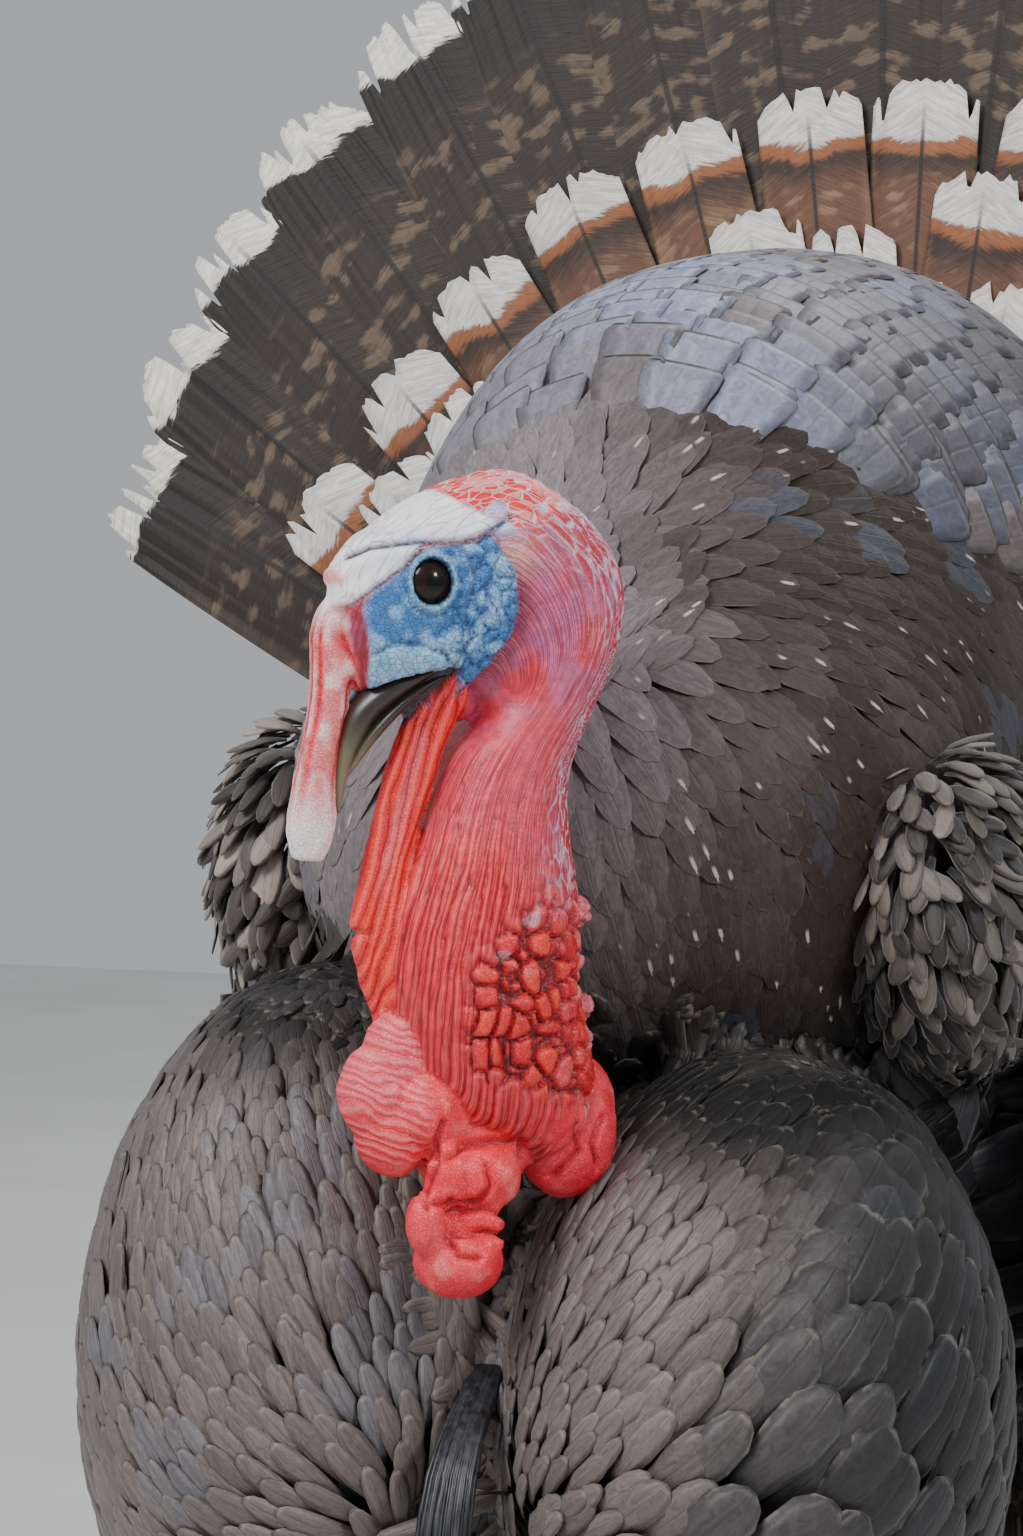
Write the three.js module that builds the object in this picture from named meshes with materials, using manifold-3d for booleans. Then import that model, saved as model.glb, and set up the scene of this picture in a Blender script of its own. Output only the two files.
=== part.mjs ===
// Displaying turkey tom (Meleagris gallopavo), a life-size still model.
// Millimetres, +Z up. The bird faces -Y, its left side is +X, the soles stand on z = 0.
import * as THREE from 'three';
import { mergeVertices } from 'three/addons/utils/BufferGeometryUtils.js';
import Module from 'manifold-3d';

const wasm = await Module();
wasm.setup();

// ---------------------------------------------------------------- driving sizes
const GAP = 0.35; // air between two pieces that touch
const BREAST_HALF_WIDTH = 127;
const BREAST_FRONT = 248; // breast ahead of the origin
const BREAST_BOTTOM = 180;
const BACK_TOP = 606;
const FLANK_HALF_WIDTH = 138;
const STANCE_HALF = 66; // midline to the middle of a foot
const HOCK_HEIGHT = 172;
const HEAD_AT = new THREE.Vector3(7, -212, 504); // middle of the cheek, on the head's own mid-plane
const HEAD_TURN = THREE.MathUtils.degToRad(47); // to the bird's right
const EYE_RADIUS = 7.5;
const TAIL_AT = new THREE.Vector3(0, 193, 372); // where the tail feathers' shafts meet
const TAIL_LENGTH = 403;
const TAIL_EDGE_LENGTH = 326;
const TAIL_COUNT = 18;
const TAIL_LEAN = THREE.MathUtils.degToRad(9); // backwards
const TAIL_FROM = THREE.MathUtils.degToRad(-64); // edge on the bird's right, from upright
const TAIL_TO = THREE.MathUtils.degToRad(66); // edge on the bird's left
const WRIST = new THREE.Vector3(99, -96, 416); // bend of the left wing
const WRIST_RIGHT = new THREE.Vector3(-92, -96, 421); // bend of the right wing, held a little closer
const WING_TIP_CLEAR = 14; // drooped wing tips above the floor

// ---------------------------------------------------------------- small tools
const V = (x, y, z) => new THREE.Vector3(x, y, z);
const mix = (a, b, t) => a + (b - a) * t;
const clamp01 = (t) => Math.min(1, Math.max(0, t));
const smooth = (t) => clamp01(t) ** 2 * (3 - 2 * clamp01(t));

/** Closed solid from flat lists of coordinates and corners, its faces turned outwards. */
function closed(vertProperties, triVerts) {
  const made = new wasm.Manifold(new wasm.Mesh({ numProp: 3, vertProperties, triVerts }));
  if (made.volume() > 0) return made;
  const turned = triVerts.map((corner, i) => triVerts[i % 3 === 1 ? i + 1 : i % 3 === 2 ? i - 1 : i]);
  return new wasm.Manifold(new wasm.Mesh({ numProp: 3, vertProperties, triVerts: turned }));
}

/** Closed solid from vertices and triangles that already share their corners. */
function solid(points, faces) {
  const vertProperties = new Float32Array(points.flatMap((p) => [p.x, p.y, p.z]));
  return closed(vertProperties, new Uint32Array(faces.flat()));
}

/** Skin carried over closed rings of equal count, shut by a fan at each end. */
function loft(rings) {
  const n = rings[0].length;
  const points = rings.flat();
  const faces = [];
  for (let r = 0; r + 1 < rings.length; r++) {
    for (let k = 0; k < n; k++) {
      const a = r * n + k;
      const b = r * n + ((k + 1) % n);
      faces.push([a, b, a + n], [b, b + n, a + n]);
    }
  }
  for (const [r, flip] of [[0, true], [rings.length - 1, false]]) {
    const middle = V(0, 0, 0);
    rings[r].forEach((p) => middle.addScaledVector(p, 1 / n));
    points.push(middle);
    for (let k = 0; k < n; k++) {
      const a = r * n + k;
      const b = r * n + ((k + 1) % n);
      faces.push(flip ? [b, a, points.length - 1] : [a, b, points.length - 1]);
    }
  }
  return solid(points, faces);
}

/** Round tube along a path of points; each point carries its own radius. */
function tube(path, radii, sides = 8, squash = 1) {
  const curve = new THREE.CatmullRomCurve3(path, false, 'centripetal');
  const steps = path.length - 1;
  const rings = [];
  for (let i = 0; i <= steps; i++) {
    const t = i / steps;
    const along = curve.getPoint(t);
    const forward = curve.getTangent(t).normalize();
    const side = V(0, 0, 1).cross(forward);
    if (side.length() < 0.05) side.set(1, 0, 0);
    side.normalize();
    const up = forward.clone().cross(side).normalize();
    const at = Math.min(radii.length - 2, Math.floor(t * (radii.length - 1)));
    const radius = mix(radii[at], radii[at + 1], t * (radii.length - 1) - at);
    rings.push([...Array(sides).keys()].map((k) => {
      const a = (2 * Math.PI * k) / sides;
      const across = side.clone().multiplyScalar(radius * Math.cos(a));
      return along.clone().add(across).addScaledVector(up, radius * squash * Math.sin(a));
    }));
  }
  return loft(rings);
}

/** Sheet of a given thickness about the surface at(u, v), u and v from 0 to 1. */
function sheet(nu, nv, at, thick) {
  const front = [];
  const rear = [];
  const step = 1e-3;
  for (let i = 0; i <= nu; i++) {
    for (let j = 0; j <= nv; j++) {
      const u = i / nu;
      const v = j / nv;
      const du = at(Math.min(1, u + step), v).sub(at(Math.max(0, u - step), v));
      const dv = at(u, Math.min(1, v + step)).sub(at(u, Math.max(0, v - step)));
      const out = du.cross(dv).normalize();
      front.push(at(u, v).addScaledVector(out, thick(u, v) / 2));
      rear.push(at(u, v).addScaledVector(out, -thick(u, v) / 2));
    }
  }
  const half = front.length;
  const id = (i, j) => i * (nv + 1) + j;
  const faces = [];
  for (let i = 0; i < nu; i++) {
    for (let j = 0; j < nv; j++) {
      const [a, b, c, d] = [id(i, j), id(i + 1, j), id(i + 1, j + 1), id(i, j + 1)];
      faces.push([a, b, c], [a, c, d], [half + a, half + c, half + b], [half + a, half + d, half + c]);
    }
  }
  const rim = [];
  for (let i = 0; i < nu; i++) rim.push([id(i, 0), id(i + 1, 0)], [id(i + 1, nv), id(i, nv)]);
  for (let j = 0; j < nv; j++) rim.push([id(nu, j), id(nu, j + 1)], [id(0, j + 1), id(0, j)]);
  for (const [a, b] of rim) faces.push([b, a, half + a], [b, half + a, half + b]);
  return solid([...front, ...rear], faces);
}

/** Ellipsoid with its half sizes, turned about X by tip radians. */
function ellipsoid(at, half, tip = 0, wide = 10, high = 7) {
  const rings = [];
  for (let r = 0; r <= high; r++) {
    const polar = mix(0.14, Math.PI - 0.14, r / high);
    rings.push([...Array(wide).keys()].map((k) => {
      const a = (2 * Math.PI * k) / wide;
      const p = V(Math.sin(polar) * Math.cos(a), Math.sin(polar) * Math.sin(a), Math.cos(polar));
      return p.multiply(half).applyAxisAngle(V(1, 0, 0), tip).add(at);
    }));
  }
  return loft(rings);
}

/** The same solid on the bird's other side. */
function mirrored(part) {
  const { vertProperties, triVerts } = part.getMesh();
  return closed(vertProperties.map((value, i) => (i % 3 === 0 ? -value : value)), triVerts);
}

/** Upright box, then tipped about X through the origin and moved. */
function tippedBox(size, corner, tip, move) {
  const box = new THREE.BoxGeometry(size.x, size.y, size.z);
  box.deleteAttribute('normal');
  box.deleteAttribute('uv');
  box.translate(corner.x + size.x / 2, corner.y + size.y / 2, corner.z + size.z / 2);
  box.rotateX(tip);
  box.translate(move.x, move.y, move.z);
  const merged = mergeVertices(box);
  return closed(new Float32Array(merged.attributes.position.array), new Uint32Array(merged.index.array));
}

/** Largest single body of a solid. */
function biggest(part) {
  return part.decompose().sort((a, b) => b.volume() - a.volume())[0];
}

/** Keeps the side of the plane through `at` that `out` points to, half a gap clear of it. */
function side(part, at, out) {
  const n = out.clone().normalize();
  return part.trimByPlane([n.x, n.y, n.z], n.dot(at) + GAP / 2);
}

// ---------------------------------------------------------------- trunk
/** Rounded masses of the feathered trunk: centre, half sizes. */
const MASSES = {
  ball: { at: V(0, -72, 438), half: V(101, 112, 92) }, // puffed ruff behind the neck
  mantle: { at: V(0, -12, 498), half: V(86, 100, 98) },
  hump: { at: V(0, 80, 468), half: V(118, 126, BACK_TOP - 468) },
  trunk: { at: V(0, 40, 345), half: V(FLANK_HALF_WIDTH, 185, 130) },
  belly: { at: V(0, 60, 270), half: V(95, 120, 78) },
  vent: { at: V(0, 170, 330), half: V(80, 90, 90) },
};
/** Breast lobes either side of the cleft; the left one is set lower by the bird's lean. */
const LOBE_LEFT = {
  at: V(61, 88 - BREAST_FRONT, 280),
  half: V(BREAST_HALF_WIDTH - 61, 88, 280 - BREAST_BOTTOM),
};
const LOBE_RIGHT = {
  at: V(-60, 88 - BREAST_FRONT, 290),
  half: V(BREAST_HALF_WIDTH - 60, 88, 290 - BREAST_BOTTOM),
};
const TRUNK_MIDDLE = V(0, -10, 385);

/** Near distance from a point to an ellipsoid, negative inside. */
function reach(p, { at, half }) {
  const q = p.clone().sub(at).divide(half);
  const near = q.length();
  return (near * (near - 1)) / q.divide(half).length();
}

/** Smaller of two distances, rounded over the width k. */
function blend(a, b, k) {
  const h = Math.max(k - Math.abs(a - b), 0) / k;
  return Math.min(a, b) - (h * h * k) / 4;
}

/** Distance to the whole feathered trunk. */
function trunkField(p) {
  const lower = blend(blend(reach(p, MASSES.trunk), reach(p, MASSES.belly), 40), reach(p, MASSES.vent), 40);
  const upper = blend(blend(reach(p, MASSES.ball), reach(p, MASSES.mantle), 45), reach(p, MASSES.hump), 45);
  const both = blend(lower, upper, 26);
  const lobes = blend(reach(p, LOBE_LEFT), reach(p, LOBE_RIGHT), 10);
  return blend(both, lobes, 9);
}

/** Distance from the trunk's middle to its skin along a direction, less the margin. */
function trunkRadius(direction, margin) {
  let near = 40;
  let far = 360;
  for (let i = 0; i < 26; i++) {
    const r = (near + far) / 2;
    if (trunkField(TRUNK_MIDDLE.clone().addScaledVector(direction, r)) > margin) far = r;
    else near = r;
  }
  return near;
}

/** Trunk as one solid, its surface moved out by the margin. */
function trunkSolid(margin, wide = 38, high = 24) {
  const rings = [];
  for (let r = 1; r < high; r++) {
    const polar = (Math.PI * r) / high;
    rings.push([...Array(wide).keys()].map((k) => {
      const a = (2 * Math.PI * (k + 0.5)) / wide;
      const d = V(Math.sin(polar) * Math.cos(a), Math.sin(polar) * Math.sin(a), Math.cos(polar));
      return TRUNK_MIDDLE.clone().addScaledVector(d, trunkRadius(d, margin));
    }));
  }
  return loft(rings);
}

const trunk = trunkSolid(0);
const trunkMargin = trunkSolid(GAP + 0.4);
const trunkGrown = trunkMargin.add(mirrored(trunkMargin));

// ---------------------------------------------------------------- head and neck
const HEAD_FORWARD = V(-Math.sin(HEAD_TURN), -Math.cos(HEAD_TURN), 0);
const HEAD_LEFT = V(-HEAD_FORWARD.y, HEAD_FORWARD.x, 0);

/** Point of the head: forward and up in its mid-plane, and out to its own left. */
function headPoint(forward, up, left = 0) {
  const level = HEAD_AT.clone().addScaledVector(HEAD_FORWARD, forward).addScaledVector(HEAD_LEFT, left);
  return level.setZ(HEAD_AT.z + up);
}

/**
 * Sections from the face over the crown and down the neck: throat side (forward, up),
 * crown or nape side (forward, up), half width.
 */
const SECTIONS = [
  [23, -31, 41, -22, 6],
  [20, -28.5, 47, -6, 9.5],
  [17, -27, 46, 8, 12],
  [14.5, -26, 38, 18, 14.5],
  [12.5, -25.5, 22.5, 28, 16.5],
  [11, -25.5, 0, 34.5, 17.5],
  [9, -26, -18.5, 26.5, 18],
  [8, -28, -32, 13, 18.5],
  [8, -30, -36, -1.5, 19],
  [11, -34, -32.5, -17, 20],
  [15.5, -39, -26.5, -30, 21.5],
  [19, -49, -21.5, -43.5, 22.5],
  [23, -59, -20.5, -58, 24],
  [29.5, -71, -23, -72.5, 26],
  [35, -83.5, -26, -87.5, 28],
  [36.5, -96.5, -29.5, -103.5, 30],
  [34, -111, -32.5, -122, 33],
  [30, -124, -33, -141, 36],
];

const CHEEK_END = 8; // section where the head meets the neck
const NECK_MIDDLE = 12; // section where the upper neck meets the lower
const NECK_END = 17;
const NECK_SIDES = 14;
const SECTION_GAP = 0.012; // in sections, about a third of a millimetre

/** Closed length of the head and neck between two sections, moved out by the margin. */
function neckLength(from, to, margin = 0) {
  const rings = [];
  const steps = Math.round(to - from);
  for (let i = 0; i <= steps; i++) {
    const t = mix(from, to, i / steps);
    const k = Math.min(SECTIONS.length - 2, Math.floor(t));
    const s = SECTIONS[k].map((value, c) => mix(value, SECTIONS[k + 1][c], t - k));
    const throat = headPoint(s[0], s[1]);
    const crown = headPoint(s[2], s[3]);
    const middle = throat.clone().add(crown).multiplyScalar(0.5);
    const reachOut = crown.clone().sub(throat);
    const half = reachOut.length() / 2 + margin;
    reachOut.normalize();
    rings.push([...Array(NECK_SIDES).keys()].map((n) => {
      const a = (2 * Math.PI * (n + 0.5)) / NECK_SIDES;
      const square = 1 + 0.06 * Math.sin(2 * a) ** 2;
      return middle.clone()
        .addScaledVector(reachOut, half * square * Math.cos(a))
        .addScaledVector(HEAD_LEFT, (s[4] + margin) * square * Math.sin(a));
    }));
  }
  return loft(rings);
}

const headGrown = neckLength(0, NECK_END, GAP + 0.15);
const EYE_AT = [25, 5.8];
const EYE_OUT = 9.6; // eyeball centre from the mid-plane
const head = neckLength(0, CHEEK_END - SECTION_GAP);
const neckUpper = neckLength(CHEEK_END + SECTION_GAP, NECK_MIDDLE - SECTION_GAP);
const neckLower = neckLength(NECK_MIDDLE + SECTION_GAP, NECK_END);

/** Fleshy and horny pieces of the head as tubes: path (forward, up), left, radii, sides, squash. */
const TUBES = {
  snood: {
    path: [[40, 3], [46.5, -8], [48.5, -20], [48.5, -32.5], [50, -45], [52, -58], [53, -68]],
    radii: [4, 6, 6.6, 6.3, 6.2, 6.6, 5],
    left: -1,
    sides: 9,
    squash: 1,
  },
  dewlap: {
    path: [[19, -30], [25.5, -40], [29.5, -51], [34.5, -64], [40.5, -78], [42, -92], [39, -106]],
    radii: [4, 6, 6.5, 7, 7, 6.5, 4],
    left: 0,
    sides: 8,
    squash: 1,
  },
  bill_upper: {
    path: [[24, -14], [33, -22], [38.5, -33], [42, -43], [43.5, -53]],
    radii: [8, 7.5, 6, 4, 1.2],
    left: 0,
    sides: 8,
    squash: 0.8,
  },
  bill_lower: {
    path: [[17, -22], [26.5, -29.5], [34, -38], [39.5, -46.5]],
    radii: [6.5, 5.2, 3.6, 1.2],
    left: 0,
    sides: 8,
    squash: 0.62,
  },
};

/** One tube of the head, its radii moved out by the margin. */
function headTube(name, margin = 0) {
  const { path, radii, left, sides, squash } = TUBES[name];
  return tube(path.map(([f, u]) => headPoint(f, u, left)), radii.map((r) => r + margin), sides, squash);
}

/** Fleshy knobs on the lower neck: forward, up, left, half sizes. */
const KNOBS = {
  caruncle_right: [29, -126, 4, V(13, 13, 17.5)],
  caruncle_left: [-17, -139, 8, V(15, 14, 18.5)],
  caruncle_middle: [10, -141, 17, V(12, 11, 11)],
  caruncle_low: [13, -163, 16, V(12.5, 12, 14.5)],
};

// ---------------------------------------------------------------- legs
const THIGH_PATH = [
  V(STANCE_HALF - 8, 18, HOCK_HEIGHT + 90),
  V(STANCE_HALF - 4, 20, HOCK_HEIGHT + 50),
  V(STANCE_HALF, 32, HOCK_HEIGHT + 18),
  V(STANCE_HALF + 1, 44, HOCK_HEIGHT - 12),
];
const SHANK_PATH = [
  V(STANCE_HALF + 1, 44, HOCK_HEIGHT - 8),
  V(STANCE_HALF + 0.5, 36, HOCK_HEIGHT - 40),
  V(STANCE_HALF, 20, 70),
  V(STANCE_HALF, 8, 26),
];
const SPUR_PATH = [V(STANCE_HALF - 3, 24, 62), V(STANCE_HALF - 5, 40, 60), V(STANCE_HALF - 6, 50, 64)];
const ANKLE = V(STANCE_HALF, 4, 14);
const FOOT_TOP = 22; // where the shank stands on the foot

/** Feathered thigh down to the hock, narrowing. */
const thigh = (margin) => tube(THIGH_PATH, [50, 47, 26, 12.5].map((r) => r + margin), 12);

/** Scaled shank from the hock to the foot, deeper than it is wide. */
const shank = (margin) => tube(SHANK_PATH, [11, 8, 7.2, 8.5].map((r) => r + margin), 10, 1.25);
const spurLeft = tube(SPUR_PATH, [5, 3.6, 0.7], 6);

/** One toe with its claw, lying on the floor: heading from straight ahead, length, thickness. */
function toe(heading, length, radius) {
  const dir = V(Math.sin(heading), -Math.cos(heading), 0);
  const at = (part, z) => ANKLE.clone().addScaledVector(dir, length * part).setZ(z);
  const path = [at(0, 11), at(0.4, 6.2), at(0.75, 4.8), at(0.9, 3.6), at(1.02, 1.2)];
  return tube(path, [radius + 1.5, radius, radius * 0.85, radius * 0.6, 0.8], 6);
}
const toes = [[-0.05, 98, 7], [0.62, 78, 6.4], [-0.62, 76, 6.4], [Math.PI - 0.25, 38, 5.2]];
let footLeft = ellipsoid(ANKLE.clone().setZ(10), V(12, 14, 11), 0, 8, 5);
toes.forEach(([heading, length, radius]) => { footLeft = footLeft.add(toe(heading, length, radius)); });
footLeft = footLeft.add(tube([V(STANCE_HALF, 8, 26), V(STANCE_HALF, 5, 12)], [8.5, 9], 8));
footLeft = biggest(footLeft.trimByPlane([0, 0, 1], 0));

// ---------------------------------------------------------------- wings
/** Outline of the drooped left wing seen from its side: root to tip in Y and Z, front to rear. */
function wingOutline(front, along) {
  const rootY = mix(WRIST.y, 70, front);
  const rootZ = mix(WRIST.z - 20, 452, Math.sin((front * Math.PI) / 2));
  const tipY = mix(-38, 236, front ** 0.95);
  const tipZ = mix(WING_TIP_CLEAR + 2, 306, clamp01((front - 0.12) / 0.88) ** 1.3);
  const bow = Math.sin(along * Math.PI) * mix(-26, 10, front);
  return [mix(rootY, tipY, along) + bow, mix(rootZ, tipZ, along)];
}

/** Sideways place of the wing at a height: hugs the flank, hangs straight below it. */
function wingOut(y, z) {
  const p = V(0, y, Math.max(z, 300));
  let near = 30;
  let far = 300;
  for (let i = 0; i < 22; i++) {
    p.x = (near + far) / 2;
    if (trunkField(p) > 0) far = p.x;
    else near = p.x;
  }
  const low = smooth((300 - z) / 300);
  return Math.max(near, 112) + 7.5 + 14 * low;
}

/** Part of the wing sheet between two fractions of its chord and of its length. */
function wingSheet(a0, a1, l0, l1, nu, nv, thick) {
  const at = (u, v) => {
    const [y, z] = wingOutline(mix(a0, a1, u), mix(l0, l1, v));
    return V(wingOut(y, z), y, z);
  };
  return sheet(nu, nv, at, thick);
}
const WRIST_HALF = V(28, 42, 47);
const coversLeft = wingSheet(0.02, 0.98, 0.08, 0.44, 8, 5, (u, v) => mix(9, 6, v));
const primariesLeft = wingSheet(0, 0.395, 0.455, 1, 6, 6, (u, v) => mix(6, 2.4, v));
const secondariesLeft = wingSheet(0.4, 1, 0.455, 1, 6, 5, (u, v) => mix(6, 2.4, v));

// ---------------------------------------------------------------- tail
/** Point of the fan: distance from where the shafts meet, angle from upright, set back. */
function fanPoint(distance, angle, back = 0) {
  const cup = -0.06 * distance * Math.sin(angle) ** 2;
  const up = distance * Math.cos(angle);
  return V(
    TAIL_AT.x + distance * Math.sin(angle),
    TAIL_AT.y + up * Math.sin(TAIL_LEAN) + (back + cup) * Math.cos(TAIL_LEAN),
    TAIL_AT.z + up * Math.cos(TAIL_LEAN) - (back + cup) * Math.sin(TAIL_LEAN),
  );
}

/** One feather of the fan: a thin wedge with a rounded end. */
function fanFeather(k) {
  const width = (TAIL_TO - TAIL_FROM) / TAIL_COUNT;
  const middle = TAIL_FROM + width * (k + 0.5);
  const edge = Math.abs((k + 0.5) / TAIL_COUNT - 0.5) * 2;
  const full = mix(TAIL_LENGTH, TAIL_EDGE_LENGTH, edge ** 2.2);
  const at = (u, v) => {
    const across = 2 * u - 1;
    const distance = mix(58, full - 11 * across ** 4 - 3 * across ** 2, v);
    const half = (width * distance - GAP) / 2 / distance;
    return fanPoint(distance, middle + across * half);
  };
  return sheet(4, 3, at, (u, v) => mix(3.2, 1.6, v));
}

/** Overlay of covert feathers on one face of the fan, scalloped along its edge. */
function coverts(from, to, length, back, thick, scallops) {
  const at = (u, v) => {
    const wave = Math.abs(Math.sin(u * Math.PI * scallops));
    const swell = 0.86 + 0.14 * Math.sin(u * Math.PI);
    return fanPoint(mix(62, (length - 10 * (1 - wave)) * swell, v), mix(from, to, u), back);
  };
  return sheet(24, 3, at, () => thick);
}
const upperCoverts = coverts(TAIL_FROM * 0.84, TAIL_TO * 0.84, 312, -5.2, 6, 6);
const underCoverts = coverts(TAIL_FROM * 0.84, TAIL_TO * 0.84, 222, 6.4, 8, 6);

// ---------------------------------------------------------------- beard
/** Bristles that hang from the cleft of the breast, a little to the bird's left. */
const BEARD_PATH = [
  V(1, -198, 300),
  V(1.6, -234, 277),
  V(1.2, -244, 235),
  V(2.2, -240, 190),
  V(2.8, -238, 168),
];
const beard = tube(BEARD_PATH, [7.5, 9.4, 9, 6.5, 2.4], 9, 0.8);

// ---------------------------------------------------------------- assembly
const CREASE = V(0, -160, 379); // where the ruff overhangs the breast
const CREASE_SLOPE = 0.12;
const UP = V(0, -CREASE_SLOPE, 1);
const DOWN = UP.clone().negate();
const CREASE_STEP = 24; // the right lobe stands this much higher
const BACK_CUT = V(0, 20, 520);
const BACK_OUT = V(0, 1, 0.35);
const FRONT_CUT = V(0, -62, 300);
const REAR_CUT = V(0, 118, 300);
const FRONT = V(0, -1, 0);
const REAR = V(0, 1, 0);

const STEP_SIZE = V(200 + GAP / 2, 500, CREASE_STEP + GAP);
const step = tippedBox(STEP_SIZE, V(-200, -250, -GAP / 2), Math.atan(CREASE_SLOPE), CREASE)
  .trimByPlane([0, -1, 0], -FRONT_CUT.y - GAP / 2);
const upperTrunk = side(trunk, CREASE, UP).subtract(step);
const lowerTrunk = side(trunk, CREASE, DOWN);
const breastLeft = side(side(lowerTrunk, FRONT_CUT, FRONT), V(0, 0, 0), V(1, 0, 0));
const breastTop = CREASE.clone().addScaledVector(UP.clone().normalize(), CREASE_STEP);
const breastRight = side(side(side(trunk, breastTop, DOWN), FRONT_CUT, FRONT), V(0, 0, 0), V(-1, 0, 0));
const flankOn = side(lowerTrunk, FRONT_CUT, REAR);

const group = new THREE.Group();
group.name = 'wild_turkey';

/** Adds a named solid after taking away what is already there. */
function add(name, part, color, roughness, cutters = [], slack = 0.02) {
  let kept = part;
  cutters.forEach((c) => { kept = kept.subtract(c); });
  kept = biggest(kept).simplify(slack);
  const mesh = kept.getMesh();
  const geometry = new THREE.BufferGeometry();
  geometry.setAttribute('position', new THREE.BufferAttribute(new Float32Array(mesh.vertProperties), 3));
  geometry.setIndex(new THREE.BufferAttribute(new Uint32Array(mesh.triVerts), 1));
  geometry.computeVertexNormals();
  const made = new THREE.Mesh(geometry, new THREE.MeshStandardMaterial({ color, roughness, metalness: 0 }));
  made.name = name;
  group.add(made);
}

const UMBER = 0x4a4540;
const SLATE = 0x76737a;
const RED = 0xc23a36;
add('mantle', side(upperTrunk, BACK_CUT, BACK_OUT.clone().negate()), 0x5a544e, 0.75, [], 0.1);
add('back', side(upperTrunk, BACK_CUT, BACK_OUT), SLATE, 0.7, [], 0.1);
add('breast_left', breastLeft, UMBER, 0.75, [], 0.1);
add('breast_right', breastRight, UMBER, 0.75, [], 0.1);
add('belly', side(flankOn, REAR_CUT, FRONT), 0x46403b, 0.85, [], 0.1);
add('rump', side(flankOn, REAR_CUT, REAR), 0x46403b, 0.85, [], 0.1);

add('head', head, 0x6fa6c8, 0.5, [trunkGrown]);
add('neck_upper', neckUpper, 0xb8646c, 0.5, [trunkGrown]);
add('neck_lower', neckLower, RED, 0.5, [trunkGrown]);
const TUBE_GAP = GAP + 0.1;
add('snood', headTube('snood'), 0xd98a84, 0.5, [headGrown]);
add('bill_upper', headTube('bill_upper'), 0x2a2622, 0.4, [headGrown, headTube('snood', TUBE_GAP)]);
add('bill_lower', headTube('bill_lower'), 0x4a453a, 0.4, [headGrown, headTube('bill_upper', TUBE_GAP)]);
add('dewlap', headTube('dewlap'), 0xc8322c, 0.5, [headGrown, headTube('bill_lower', TUBE_GAP)]);

for (const [name, left] of [['eye_left', 1], ['eye_right', -1]]) {
  const at = headPoint(EYE_AT[0], EYE_AT[1], EYE_OUT * left);
  const ball = ellipsoid(at, V(EYE_RADIUS, EYE_RADIUS, EYE_RADIUS));
  add(name, ball, 0x1a1210, 0.08, [headGrown]);
}

const knobsDone = [];
for (const [name, [forward, up, left, half]] of Object.entries(KNOBS)) {
  const at = headPoint(forward, up, left);
  const cutters = [headGrown, trunkGrown, headTube('dewlap', TUBE_GAP), ...knobsDone];
  add(name, ellipsoid(at, half), RED, 0.45, cutters);
  knobsDone.push(ellipsoid(at, half.clone().addScalar(GAP + 0.2)));
}
add('beard', beard, 0x1e2024, 0.6, [trunkGrown]);

/** Adds a piece of the left side, cleared of its neighbours, and its mirror image. */
function addPair(name, part, color, roughness, cutters = []) {
  let kept = part;
  cutters.forEach((c) => { kept = kept.subtract(c); });
  kept = biggest(kept);
  add(`${name}_left`, kept, color, roughness);
  add(`${name}_right`, mirrored(kept), color, roughness);
}
addPair('thigh', thigh(0), 0x46403b, 0.85, [trunkGrown]);
addPair('shank', shank(0).trimByPlane([0, 0, 1], FOOT_TOP + GAP), 0x9a8a86, 0.55, [thigh(GAP + 0.15)]);
addPair('spur', spurLeft, 0x3a3430, 0.4, [shank(GAP + 0.05)]);
addPair('foot', footLeft.trimByPlane([0, 0, -1], -FOOT_TOP), 0x9a8a86, 0.55);

const wristCut = V(GAP + 0.2, GAP + 0.2, GAP + 0.2).add(WRIST_HALF);
const wristGrown = ellipsoid(WRIST, wristCut, 0.3).add(mirrored(ellipsoid(WRIST_RIGHT, wristCut, 0.3)));
add('wing_wrist_left', ellipsoid(WRIST, WRIST_HALF, 0.3), UMBER, 0.75, [trunkGrown]);
add('wing_wrist_right', ellipsoid(WRIST_RIGHT, WRIST_HALF, 0.3), UMBER, 0.75, [trunkGrown]);
addPair('wing_covers', coversLeft, 0x55504b, 0.7, [trunkGrown, wristGrown]);
addPair('wing_primaries', primariesLeft, 0x6a645c, 0.65, [trunkGrown]);
addPair('wing_secondaries', secondariesLeft, 0x6a5a4c, 0.65, [trunkGrown]);

add('tail_coverts_upper', upperCoverts, 0x6e4a38, 0.7, [trunkGrown]);
add('tail_coverts_under', underCoverts, 0x5a4236, 0.75, [trunkGrown]);
for (let k = 0; k < TAIL_COUNT; k++) {
  add(`tail_feather_${String(k + 1).padStart(2, '0')}`, fanFeather(k), 0x6b5646, 0.65, [trunkGrown]);
}

export default group;
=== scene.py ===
"""Displaying turkey tom as a life-size still model: bare skin, plumage, horn and finishes.

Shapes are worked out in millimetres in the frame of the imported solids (+Z up, the bird
faces -Y, its left side is +X) and written to the meshes in metres.
"""
from math import radians

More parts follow.
